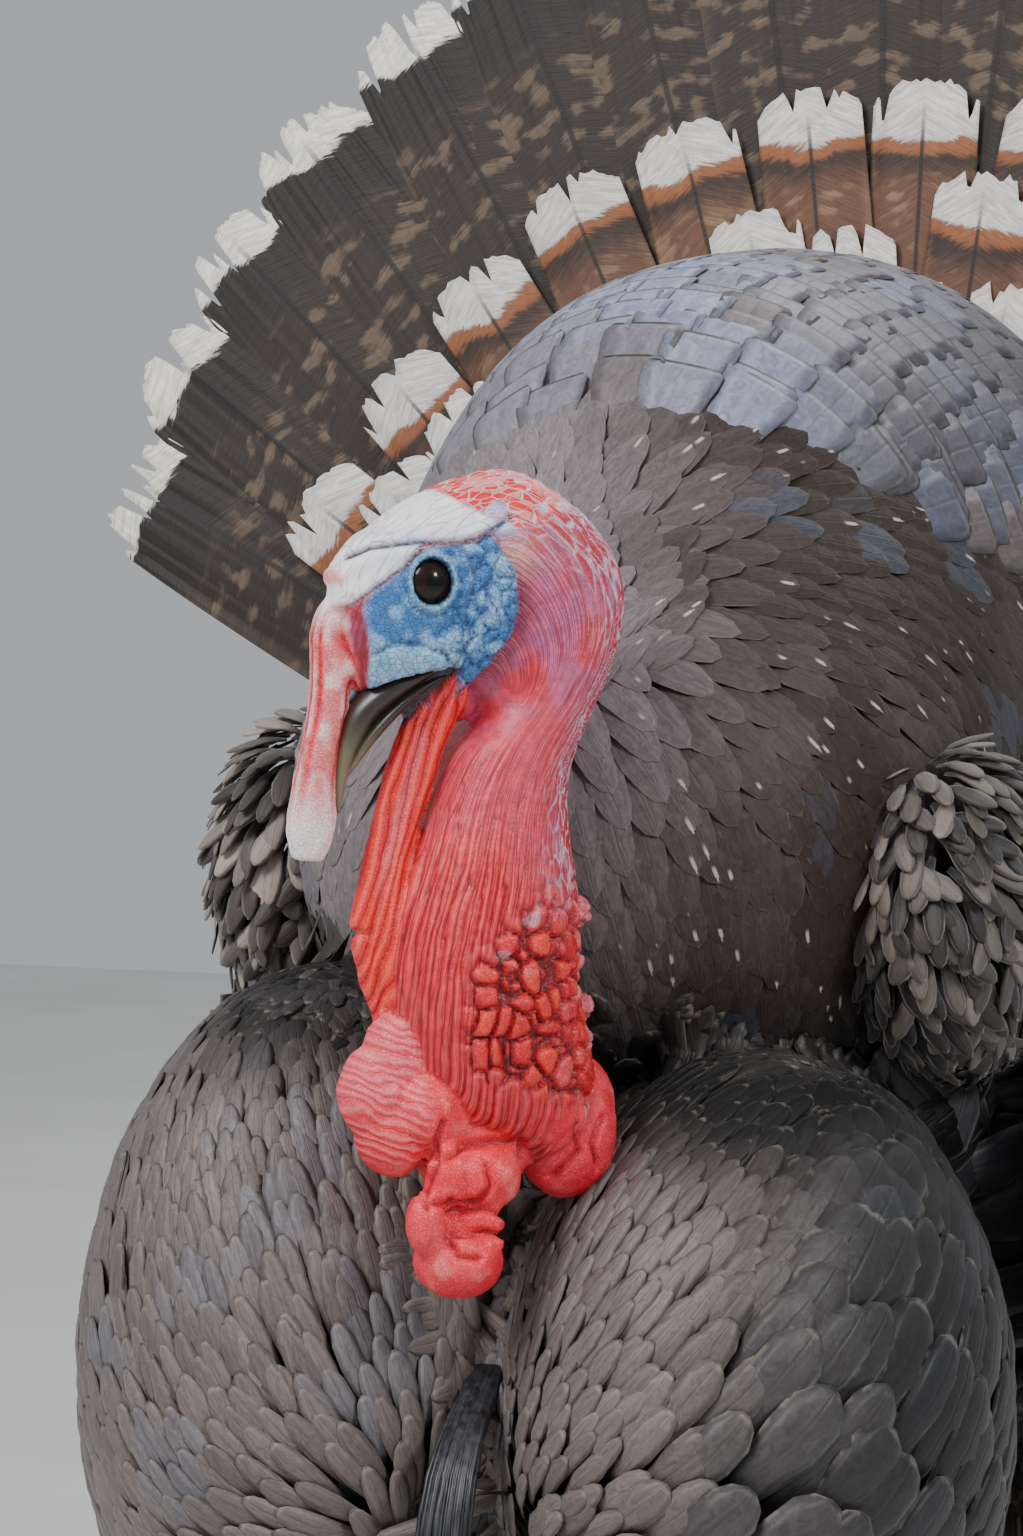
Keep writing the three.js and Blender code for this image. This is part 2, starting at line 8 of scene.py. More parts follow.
import bpy
import numpy as np
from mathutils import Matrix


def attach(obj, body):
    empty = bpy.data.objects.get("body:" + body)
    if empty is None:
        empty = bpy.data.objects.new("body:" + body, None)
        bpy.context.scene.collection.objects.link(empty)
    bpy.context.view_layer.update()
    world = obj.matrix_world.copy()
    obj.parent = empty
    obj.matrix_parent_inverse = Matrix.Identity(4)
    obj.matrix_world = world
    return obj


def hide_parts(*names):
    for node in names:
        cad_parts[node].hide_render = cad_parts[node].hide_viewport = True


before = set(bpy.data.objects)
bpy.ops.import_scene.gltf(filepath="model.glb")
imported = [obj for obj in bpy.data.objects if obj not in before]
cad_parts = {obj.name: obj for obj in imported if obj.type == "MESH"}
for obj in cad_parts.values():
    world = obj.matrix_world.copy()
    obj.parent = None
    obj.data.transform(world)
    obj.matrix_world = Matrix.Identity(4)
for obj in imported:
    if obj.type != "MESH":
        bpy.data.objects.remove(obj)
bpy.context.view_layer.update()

MM = 0.001
RNG = np.random.default_rng(7)

# ------------------------------------------------------------------ driving sizes, mm
BREAST_HALF_WIDTH = 127.0
BREAST_FRONT = 248.0
BREAST_BOTTOM = 180.0
BACK_TOP = 606.0
FLANK_HALF_WIDTH = 138.0
STANCE_HALF = 66.0
HOCK_HEIGHT = 172.0
HEAD_AT = np.array([7.0, -212.0, 504.0])
HEAD_TURN = radians(47)
EYE_RADIUS = 7.5
EYE_AT = (25.0, 5.8)
EYE_OUT = 10.2
TAIL_AT = np.array([0.0, 193.0, 372.0])
TAIL_LENGTH = 403.0
TAIL_EDGE_LENGTH = 326.0
TAIL_COUNT = 18
TAIL_LEAN = radians(9)
TAIL_FROM = radians(-64)
TAIL_TO = radians(66)
WRIST = np.array([99.0, -96.0, 416.0])
WRIST_RIGHT = np.array([-92.0, -96.0, 421.0])
WRIST_HALF = np.array([28.0, 42.0, 47.0])
WING_TIP_CLEAR = 14.0
THIGH_AT = np.array([61.0, 22.0, 212.0])
SOLE_CLEAR = 0.05
COAT = 7.0  # depth of the body plumage over the skin
VIEW_TURN = radians(20)
VIEW_RISE = radians(4)
VIEW_DISTANCE = 1.2
VIEW_AIM = (0.008, -0.206, 0.460)
LENS = 106.9


# ------------------------------------------------------------------ numbers and noise
def smooth(low, high, x):
    """Ramp from 0 at low to 1 at high: t squared times (3 - 2t)."""
    t = np.clip((np.asarray(x, float) - low) / (high - low), 0, 1)
    return t * t * (3 - 2 * t)


def unit(v):
    """Vectors divided by their own length."""
    return v / np.maximum(np.linalg.norm(v, axis=-1, keepdims=True), 1e-9)


def mix(a, b, t):
    """Straight blend a + (b - a) t."""
    return a + (b - a) * t


def linear(r, g, b):
    """Screen colour 0 to 255 turned into linear light."""
    c = np.array([r, g, b], float) / 255
    return np.where(c <= 0.04045, c / 12.92, ((c + 0.055) / 1.055) ** 2.4)


def lattice(cells, seed):
    """One repeatable number from 0 to 1 for each whole cell: indices multiplied by primes, then bit-mixed."""
    c = cells.astype(np.int64)
    h = (c[..., 0] * 374761393 + c[..., 1] * 668265263 + c[..., 2] * 1440662683 + seed * 9176867) & 0xFFFFFFFF
    h = ((h ^ (h >> 13)) * 1274126177) & 0xFFFFFFFF
    return ((h ^ (h >> 16)) & 0xFFFFFF) / float(0xFFFFFF)


def noise(p, seed=0):
    """Value noise from 0 to 1: the eight corner numbers of a cell blended by smooth weights."""
    base = np.floor(p)
    t = p - base
    t = t * t * (3 - 2 * t)
    total = np.zeros(p.shape[:-1])
    for corner in np.ndindex(2, 2, 2):
        weight = np.prod(np.where(np.array(corner, bool), t, 1 - t), axis=-1)
        total += weight * lattice(base + np.array(corner), seed)
    return total


def rumble(p, octaves=3, seed=0):
    """Sum of halving noise octaves, about -1 to 1."""
    total = np.zeros(p.shape[:-1])
    for k in range(octaves):
        total += (noise(p * 2.0**k, seed + k) - 0.5) * 2 * 0.5**k
    return total / 1.5


def pebbles(p, seed=0):
    """Cells about jittered points: distance to the nearest, gap to the next, and the cell's own number."""
    base = np.floor(p)
    first = np.full(p.shape[:-1], 9.0)
    second = first.copy()
    own = np.zeros(p.shape[:-1])
    for step in np.ndindex(3, 3, 3):
        cell = base + np.array(step) - 1
        spot = np.stack([lattice(cell, seed + k) for k in (1, 2, 3)], -1) * 0.8 + 0.1
        far = np.linalg.norm(cell + spot - p, axis=-1)
        own = np.where(far < first, lattice(cell, seed + 9), own)
        second = np.where(far < first, first, np.minimum(second, far))
        first = np.minimum(first, far)
    return first, second - first, own


def curve(rows, t):
    """Catmull-Rom curve through equally spaced rows at the parameters t."""
    rows = np.asarray(rows, float)
    padded = np.vstack([2 * rows[0] - rows[1], rows, 2 * rows[-1] - rows[-2]])
    t = np.asarray(t, float)
    k = np.clip(np.floor(t).astype(int), 0, len(rows) - 2)
    s = (t - k)[:, None]
    a, b, c, d = (padded[k + j] for j in range(4))
    return 0.5 * (2 * b + (c - a) * s + (2 * a - 5 * b + 4 * c - d) * s**2 + (3 * b - a - 3 * c + d) * s**3)


def patch(p, outline):
    """Signed distance in a plane to a closed outline: least distance to any edge, negative inside."""
    edge = np.asarray(outline, float)
    nxt = np.roll(edge, -1, axis=0)
    near = np.full(len(p), 1e9)
    inside = np.zeros(len(p), bool)
    for a, b in zip(edge, nxt):
        ab = b - a
        t = np.clip(((p - a) @ ab) / (ab @ ab), 0, 1)
        near = np.minimum(near, np.linalg.norm(p - a - t[:, None] * ab, axis=1))
        cross = (a[1] > p[:, 1]) != (b[1] > p[:, 1])
        reach = a[0] + (p[:, 1] - a[1]) * ab[0] / (ab[1] if ab[1] else 1e-9)
        inside ^= cross & (p[:, 0] < reach)
    return np.where(inside, -near, near)


# ------------------------------------------------------------------ meshes
def mesh_from(name, points, faces, maps=None, tints=None):
    """Mesh from points in mm and arrays of quads or triangles, with maps and colours given per point."""
    mesh = bpy.data.meshes.new(name)
    faces = [np.asarray(f, np.int32) for f in faces if len(f)]
    counts = np.concatenate([np.full(len(f), f.shape[1], np.int32) for f in faces])
    corners = np.concatenate([f.ravel() for f in faces])
    mesh.vertices.add(len(points))
    mesh.vertices.foreach_set("co", (np.asarray(points) * MM).astype(np.float32).ravel())
    mesh.loops.add(len(corners))
    mesh.loops.foreach_set("vertex_index", corners)
    mesh.polygons.add(len(counts))
    mesh.polygons.foreach_set("loop_start", np.concatenate([[0], np.cumsum(counts)[:-1]]).astype(np.int32))
    mesh.polygons.foreach_set("use_smooth", np.ones(len(counts), bool))
    mesh.update(calc_edges=True)
    for key, uv in (maps or {}).items():
        mesh.uv_layers.new(name=key).data.foreach_set("uv", uv[corners].astype(np.float32).ravel())
    for key, colour in (tints or {}).items():
        rgba = np.concatenate([colour, np.ones((len(colour), 1))], 1).astype(np.float32)
        mesh.color_attributes.new(name=key, type="FLOAT_COLOR",
                                  domain="POINT").data.foreach_set("color", rgba.ravel())
    mesh.validate()
    return mesh


def piece(name, mesh, material, nodes=()):
    """Object for a finished mesh: rides on the one body, takes its material, stands for its nodes."""
    mesh.materials.clear()
    mesh.materials.append(material)
    made = bpy.data.objects.new(name, mesh)
    bpy.context.scene.collection.objects.link(made)
    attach(made, "root")
    if nodes:
        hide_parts(*nodes)
    return made


def shell(rings, first=0):
    """Faces over closed rings of equal count, with a fan at each end; returns points and faces."""
    count, around = rings.shape[:2]
    ids = np.arange(count * around).reshape(count, around)
    a, b = ids[:-1], ids[1:]
    quads = np.stack([a, np.roll(a, -1, 1), np.roll(b, -1, 1), b], -1).reshape(-1, 4)
    ends = np.stack([rings[0].mean(0), rings[-1].mean(0)])
    start = np.stack([np.roll(ids[0], -1), ids[0], np.full(around, count * around)], -1)
    close = np.stack([ids[-1], np.roll(ids[-1], -1), np.full(around, count * around + 1)], -1)
    points = np.concatenate([rings.reshape(-1, 3), ends])
    return points, [quads + first, np.concatenate([start, close]) + first]


def join_shells(shells):
    """Several (points, faces) shells as one set of points and faces."""
    points, quads, tris, total = [], [], [], 0
    for pts, faces in shells:
        points.append(pts)
        for f in faces:
            (quads if f.shape[1] == 4 else tris).append(f + total)
        total += len(pts)
    return np.concatenate(points), [np.concatenate(group) for group in (quads, tris) if group]


def pipe(path, radii, around=16, per=4, squash=1.0, spin=None):
    """Tube along a curve: rings of radius r(t) square to the path, the second axis scaled by squash."""
    t = np.linspace(0, len(path) - 1, (len(path) - 1) * per + 1)
    spine = curve(path, t)
    radius = curve(np.asarray(radii, float)[:, None], t)
    along = unit(np.gradient(spine, axis=0))
    side = np.asarray(spin if spin is not None else (0.0, 0.0, 1.0), float)
    side = unit(np.cross(side, along))
    up = np.cross(along, side)
    angle = np.linspace(0, 2 * np.pi, around, endpoint=False)
    ring = side[:, None] * np.cos(angle)[None, :, None] + squash * up[:, None] * np.sin(angle)[None, :, None]
    return shell(spine[:, None] + radius[:, None] * ring)


def egg(at, half, tip=0.0, around=24, high=16):
    """Ellipsoid: half sizes times the unit sphere, tipped about X, moved to its centre."""
    polar = np.linspace(0.08, np.pi - 0.08, high)[:, None]
    angle = np.linspace(0, 2 * np.pi, around, endpoint=False)[None]
    ball = np.stack([np.sin(polar) * np.cos(angle), np.sin(polar) * np.sin(angle), np.cos(polar) + 0 * angle],
                    -1)
    p = ball * np.asarray(half)
    turned = np.stack([p[..., 0], p[..., 1] * np.cos(tip) - p[..., 2] * np.sin(tip),
                       p[..., 1] * np.sin(tip) + p[..., 2] * np.cos(tip)], -1)
    return shell(turned[::-1] + np.asarray(at))


# ------------------------------------------------------------------ trunk form
def reach(p, at, half):
    """Near distance to an ellipsoid: k(k - 1)/m with k = |q|, m = |q/half|, q = (p - at)/half."""
    q = (p - np.asarray(at)) / np.asarray(half)
    k = np.linalg.norm(q, axis=-1)
    return k * (k - 1) / np.maximum(np.linalg.norm(q / np.asarray(half), axis=-1), 1e-9)


def blend(a, b, k):
    """Smaller of two distances, rounded over the width k."""
    h = np.maximum(k - np.abs(a - b), 0) / k
    return np.minimum(a, b) - h * h * k / 4


def trunk_form(p):
    """Distance to the feathered trunk: ruff, mantle, hump, flanks, belly and vent blended with the lobes."""
    low = blend(reach(p, (0, 40, 345), (FLANK_HALF_WIDTH, 185, 130)), reach(p, (0, 60, 270), (95, 120, 78)),
                40)
    low = blend(low, reach(p, (0, 170, 330), (80, 90, 90)), 40)
    top = blend(reach(p, (0, -72, 438), (101, 112, 92)), reach(p, (0, -12, 498), (86, 100, 98)), 45)
    top = blend(top, reach(p, (0, 80, 468), (118, 126, BACK_TOP - 468)), 45)
    lobes = blend(reach(p, (61, 88 - BREAST_FRONT, 280), (BREAST_HALF_WIDTH - 61, 88, 280 - BREAST_BOTTOM)),
                  reach(p, (-60, 88 - BREAST_FRONT, 290), (BREAST_HALF_WIDTH - 60, 88, 290 - BREAST_BOTTOM)),
                  10)
    return blend(blend(low, top, 26), lobes, 9)


def thigh_form(p):
    """Distance to both feathered thighs, narrowing to the hock."""
    q = p * np.array([1, 1, 1]) + 0
    q[..., 0] = np.abs(q[..., 0])
    upper = reach(q, (60, 20, 222), (43, 45, 44))
    lower = reach(q, (STANCE_HALF + 1, 38, 182), (17, 19, 28))
    return blend(upper, lower, 18)


def slope_of(form, p, step=0.4):
    """Value and slope of a form by central differences."""
    value = form(p)
    slope = np.stack([(form(p + step * e) - form(p - step * e)) / (2 * step) for e in np.eye(3)], -1)
    return value, slope


def settle(form, p, height, rounds=2):
    """Moves points along the slope until the form equals the height; gives points and outward directions."""
    for _ in range(rounds):
        value, slope = slope_of(form, p)
        p = p - slope * ((value - height) / np.maximum(np.sum(slope**2, -1), 1e-6))[..., None]
    return p, unit(slope)


def radial(form, middle, directions, level, far=380.0):
    """Distance from the middle to the level surface along each direction, by halving."""
    low = np.full(directions.shape[:-1], 8.0)
    high = np.full(directions.shape[:-1], far)
    for _ in range(20):
        half = (low + high) / 2
        out = form(middle + directions * half[..., None]) > level
        high = np.where(out, half, high)
        low = np.where(out, low, half)
    return low


TRUNK_MIDDLE = np.array([0.0, -10.0, 385.0])


# ------------------------------------------------------------------ head form
HEAD_FORWARD = np.array([-np.sin(HEAD_TURN), -np.cos(HEAD_TURN), 0.0])
HEAD_LEFT = np.array([-HEAD_FORWARD[1], HEAD_FORWARD[0], 0.0])
UP = np.array([0.0, 0.0, 1.0])


def head_point(forward, up, left=0.0):
    """Point of the head from its own forward, up and left distances."""
    return (HEAD_AT + np.multiply.outer(forward, HEAD_FORWARD) + np.multiply.outer(up, UP)
            + np.multiply.outer(left, HEAD_LEFT))


def head_place(p):
    """Forward, up and left distances of points in the head's own axes."""
    d = p - HEAD_AT
    return d @ HEAD_FORWARD, d[..., 2], d @ HEAD_LEFT


# throat side (forward, up), crown or nape side (forward, up), half width
SECTIONS = np.array([
    [23, -31, 41, -22, 6], [20, -28.5, 47, -6, 9.5], [17, -27, 46, 8, 12], [14.5, -26, 38, 18, 14.5],
    [12.5, -25.5, 22.5, 28, 16.5], [11, -25.5, 0, 34.2, 17.5], [9, -26, -17.8, 26.3, 18],
    [8, -28, -30, 12.8, 18], [8, -30, -33, -1.5, 18.5], [11, -34, -29, -16.5, 19],
    [15.5, -39, -22.6, -29.5, 20], [19, -49, -16.6, -43, 21], [22.5, -59, -15.8, -57.5, 22.5],
    [27.5, -71, -18, -72, 24], [32, -83.5, -18.5, -87, 25.5], [34, -96.5, -18.5, -102, 27],
    [32.5, -111, -21.5, -119, 27], [28, -124, -25, -132, 26], [20, -134, -26, -143, 22],
    [8, -143, -24, -154, 13]])
SNOOD = [(42, 1), (45.5, -7), (46.8, -18), (48.6, -31), (51.2, -44), (52.6, -57), (53.4, -66)]
SNOOD_RADII = [5.0, 6.2, 5.4, 5.0, 5.2, 6.2, 4.0]
DEWLAP_FRONT = [
    (23, -27), (26.6, -35), (30.2, -46), (33.6, -59), (36.6, -72), (39.2, -84), (37.4, -95), (33.5, -108)]
DEWLAP_REAR = [
    (17.6, -21), (17.2, -28), (20, -37), (24, -49), (28, -60), (31.5, -74), (31, -91), (28.5, -106)]
DEWLAP_LEFT = [7.5, 6.0, 3.5, 2.0, 1.5, 2.5, 4.0, 7.0]
DEWLAP_RADII = [2.4, 2.9, 3.0, 3.2, 3.4, 3.4, 3.2, 2.4]
# fleshy lobes and nodules of the lower neck: forward, up, left, half sizes
LOBES = (
    (31.5, -117, 6, (9.5, 8, 12)), (35.5, -127, 3, (11, 11.5, 13)), (32, -136, 5, (11, 10, 13)),
    (22, -131, 9, (10, 13, 12)), (-15, -139, 8, (14, 12.5, 18)), (-19, -132, 6, (10.5, 10, 13)),
    (-7, -132, 15, (9, 9, 10)), (11, -148, 17, (9.5, 9.5, 9)), (21.5, -147.5, 17, (7, 6.5, 9)),
    (11, -142, 6, (16, 13, 14)), (18.5, -170, 16, (12, 10.5, 10)), (26.5, -159, 16.5, (6, 9.5, 9.5)),
    (15, -159, 19, (8.5, 3.8, 6.5)), (15, -164, 19.5, (8, 3, 5.5)))
LOBE_FOLDS = (
    [(23.2, -153.4), (23.7, -163.1), (22.1, -167.1), (17.0, -167.8)],
    [(22.1, -156.5), (14.9, -155.2), (8.8, -157.3), (6, -160.3)],
    [(22.1, -161.6), (15, -161.4), (8.2, -162.6)],
    [(30, -152), (24, -154.5), (16.0, -153.9), (13.6, -149.3), (15.0, -143.4)],
    [(2.7, -134), (1.7, -144), (2.2, -159.1)],
    [(24, -133), (26.5, -142.9), (28.0, -148.6), (29.5, -154.3)],
    [(24.2, -142.1), (18.0, -139.5), (10.8, -138.5), (4.1, -139.3)],
    [(-8, -150), (-13, -143), (-12, -136)], [(-20, -148), (-17, -141), (-21, -135)])
NODULES = (
    (-20, -82, 2, 4.4), (-19, -107, 3, 5.4), (-15, -94, 8, 4.4), (-17, -115, 8, 4.8), (-11, -88, 13, 3.8),
    (-10, -101, 15, 4.4), (-5, -109, 19, 4.4), (-9, -118, 17, 4.8), (-16, -103, -8, 4.4),
    (-16, -92, -7, 4.2), (-18, -116, -8, 4.8), (1, -117, 21, 4.2))
FOLD_BROW = [
    (51.2, 5.9), (46, 10.4), (39.2, 14.1), (28.7, 15.6), (19.6, 15.6), (13.5, 16.6), (8.5, 19.2),
    (2.7, 22.7)]
FOLD_LORE = [(49.3, -3.6), (39.6, 4), (31.3, 10.2), (27.5, 14)]
FOLD_CUSHION = [(42.5, -14.5), (38.5, -12.1), (34.7, -10.1), (27.2, -10.2), (21.9, -12.4), (18.8, -15.3)]
FOLD_CHEEK = [(18.5, -16), (15, -9), (16.5, -2), (14, 6), (15.5, 12)]
FACE = [
    (27.5, 14.2), (19.8, 15.2), (13.3, 16.2), (8.9, 18.6), (4.7, 11.4), (2.4, 7.8), (2, -1.4),
    (3.9, -8.4), (7.8, -14.7), (12.4, -20.5), (15.8, -25), (17.3, -17.4), (19.5, -16.4), (27, -17.8),
    (33.6, -19.4), (38.4, -21.8), (39.6, -17.6), (39.6, -12), (40.6, -7), (42, -1), (39.6, 3.6),
    (31.3, 9.8)]
BILL_AREA = [
    (16.6, -17.2), (19.5, -16.6), (27, -18), (33.6, -19.6), (39, -22.2), (50, -24), (54, -44), (50, -60),
    (40, -60), (35, -42), (30, -34), (24, -27.5), (18, -20)]
BLAZE = [
    (60, -9), (60, 14), (48, 24), (30, 32), (21, 29.5), (15.3, 25.5), (7.6, 20.8), (8.5, 19.2),
    (13.5, 16.8), (19.6, 15.8), (28, 15.2), (31.3, 10.4), (39.6, 4.2), (49, -3.6), (46.5, -9)]
BUMPS = ((46.7, 6.7, 2.6), (45.6, -1.6, 3.2))
LEAN_RUN = 175.0


def neck_rings(per=6, around=56):
    """Head and neck as rings: each spans throat to crown, with a slightly squared oval across."""
    t = np.linspace(0, len(SECTIONS) - 1, (len(SECTIONS) - 1) * per + 1)
    s = curve(SECTIONS, t)
    throat = head_point(s[:, 0], s[:, 1])
    crown = head_point(s[:, 2], s[:, 3])
    middle = (throat + crown) / 2
    across = (crown - throat) / 2
    angle = np.linspace(0, 2 * np.pi, around, endpoint=False)
    square = 1 + 0.06 * np.sin(2 * angle) ** 2
    return (middle[:, None] + across[:, None] * (square * np.cos(angle))[None, :, None]
            + s[:, 4][:, None, None] * HEAD_LEFT * (square * np.sin(angle))[None, :, None])


def line_distance(p, path):
    """Distance from points in a plane to an open line of straight pieces."""
    near = np.full(len(p), 1e9)
    for a, b in zip(np.asarray(path[:-1], float), np.asarray(path[1:], float)):
        ab = b - a
        t = np.clip(((p - a) @ ab) / (ab @ ab), 0, 1)
        near = np.minimum(near, np.linalg.norm(p - a - t[:, None] * ab, axis=1))
    return near


def path_distance(p, path):
    """Distance in space to an open path, and how far along it (0 to 1) the nearest place lies."""
    pts = curve(path, np.linspace(0, len(path) - 1, 40))
    near = np.full(len(p), 1e9)
    at = np.zeros(len(p))
    for k in range(len(pts) - 1):
        ab = pts[k + 1] - pts[k]
        t = np.clip(((p - pts[k]) @ ab) / (ab @ ab), 0, 1)
        far = np.linalg.norm(p - pts[k] - t[:, None] * ab, axis=1)
        at = np.where(far < near, (k + t) / (len(pts) - 1), at)
        near = np.minimum(near, far)
    return near, at


def head_shells():
    """Closed shells that fuse into the bare skin: head and neck, snood, dewlap, jaw, lobes and nodules."""
    shells = [shell(neck_rings())]
    shells.append(pipe([head_point(f, u, -1) for f, u in SNOOD], SNOOD_RADII, 24, 5, 0.9, HEAD_LEFT))
    front, rear = np.array(DEWLAP_FRONT, float), np.array(DEWLAP_REAR, float)
    for share, fullness in ((0, 1.0), (0.25, 0.62), (0.5, 0.6), (0.75, 0.66), (1, 0.9)):
        path = mix(front, rear, share)
        shells.append(pipe([head_point(f, u, side * share + 0.5) for (f, u), side in zip(path, DEWLAP_LEFT)],
                           np.array(DEWLAP_RADII) * fullness, 14, 4))
    shells.append(egg(head_point(14, -23, 0), (8, 7.5, 8.5)))
    for forward, up, left, half in LOBES:
        shells.append(egg(head_point(forward, up, left), half))
    for forward, up, left, size in NODULES:
        shells.append(egg(head_point(forward, up, left), (size, size, size * 0.8), around=16, high=10))
    return shells


def fuse(name, shells, voxel):
    """Fuses overlapping shells into one skin with the Remesh modifier; returns points, normals and faces."""
    points, faces = join_shells(shells)
    mesh = mesh_from(name, points, faces)
    blank = bpy.data.objects.new(name, mesh)
    bpy.context.scene.collection.objects.link(blank)
    remesh = blank.modifiers.new("Fuse", "REMESH")
    remesh.mode = "VOXEL"
    remesh.voxel_size = voxel * MM
    relax = blank.modifiers.new("Relax", "SMOOTH")
    relax.factor = 0.5
    relax.iterations = 4
    done = bpy.data.meshes.new_from_object(blank.evaluated_get(bpy.context.evaluated_depsgraph_get()))
    bpy.data.objects.remove(blank)
    bpy.data.meshes.remove(mesh)
    co = np.empty(len(done.vertices) * 3, np.float32)
    done.vertices.foreach_get("co", co)
    normal = np.empty(len(done.vertices) * 3, np.float32)
    done.vertices.foreach_get("normal", normal)
    corner = np.empty(len(done.loops), np.int32)
    done.loops.foreach_get("vertex_index", corner)
    bpy.data.meshes.remove(done)
    return co.reshape(-1, 3).astype(float) / MM, normal.reshape(-1, 3).astype(float), corner.reshape(-1, 4)


def neck_place(p):
    """Place on head and neck: mm along the skin over crown and nape, mm round it, turn from the nape."""
    rings = neck_rings(4, 48)
    centre = rings.mean(1)
    over = (rings[:, 0] - rings[:, 24]) / 2
    facing = unit(np.cross(over, HEAD_LEFT))
    off = (np.abs(p @ facing.T - np.sum(centre * facing, 1)) + 0.25
           * np.linalg.norm(p[:, None] - centre[None], axis=2))
    at = np.argmin(off, axis=1)
    d = p - centre[at]
    width = np.linalg.norm(rings[:, 12] - centre, axis=1)
    turn = np.arctan2((d @ HEAD_LEFT) / width[at], np.sum(d * over[at], 1) / np.sum(over[at] ** 2, 1))
    run = np.vstack([np.zeros(48), np.cumsum(np.linalg.norm(np.diff(rings, axis=0), axis=2), axis=0)])
    lead = np.sum(d * facing[at], 1)
    run = run[at, np.round(turn / (2 * np.pi) * 48).astype(int) % 48] - lead
    girth = (width + np.linalg.norm(over, axis=1))[at] / 2
    return run, turn * girth, np.abs(turn)


def ropes(across, along, pitch, length, seed, wander=0.7):
    """Long cords side by side, broken now and then: crest = |sin(pi (across / pitch + wander noise))|."""
    place = np.stack([along / (6 * pitch), across / (4 * pitch), 0 * across], 1)
    phase = across / pitch + wander * rumble(place, 2, seed)
    number = np.floor(phase)
    broken = np.abs(np.sin(np.pi * (along / length + 7.31 * np.sin(12.7 * number + seed))))
    return (np.abs(np.sin(np.pi * phase)), broken,
            0.5 + 0.5 * np.sin(91.7 * number + np.floor(along / length) * 5.1))


def paint(colour, rgb, weight):
    """Lays an sRGB colour over per-point colours by weight."""
    return colour + (linear(*rgb) - colour) * np.clip(weight, 0, 1)[:, None]


def even_out(values, quads, rounds):
    """Evens out values over their neighbours: each face hands its mean back to its corners, in rounds."""
    corner = quads.ravel()
    share = np.bincount(corner, minlength=len(values))
    for _ in range(rounds):
        mean = np.repeat(values[quads].mean(1), 4, axis=0)
        values = np.stack([np.bincount(corner, column, len(values)) / share for column in mean.T], 1)
    return values


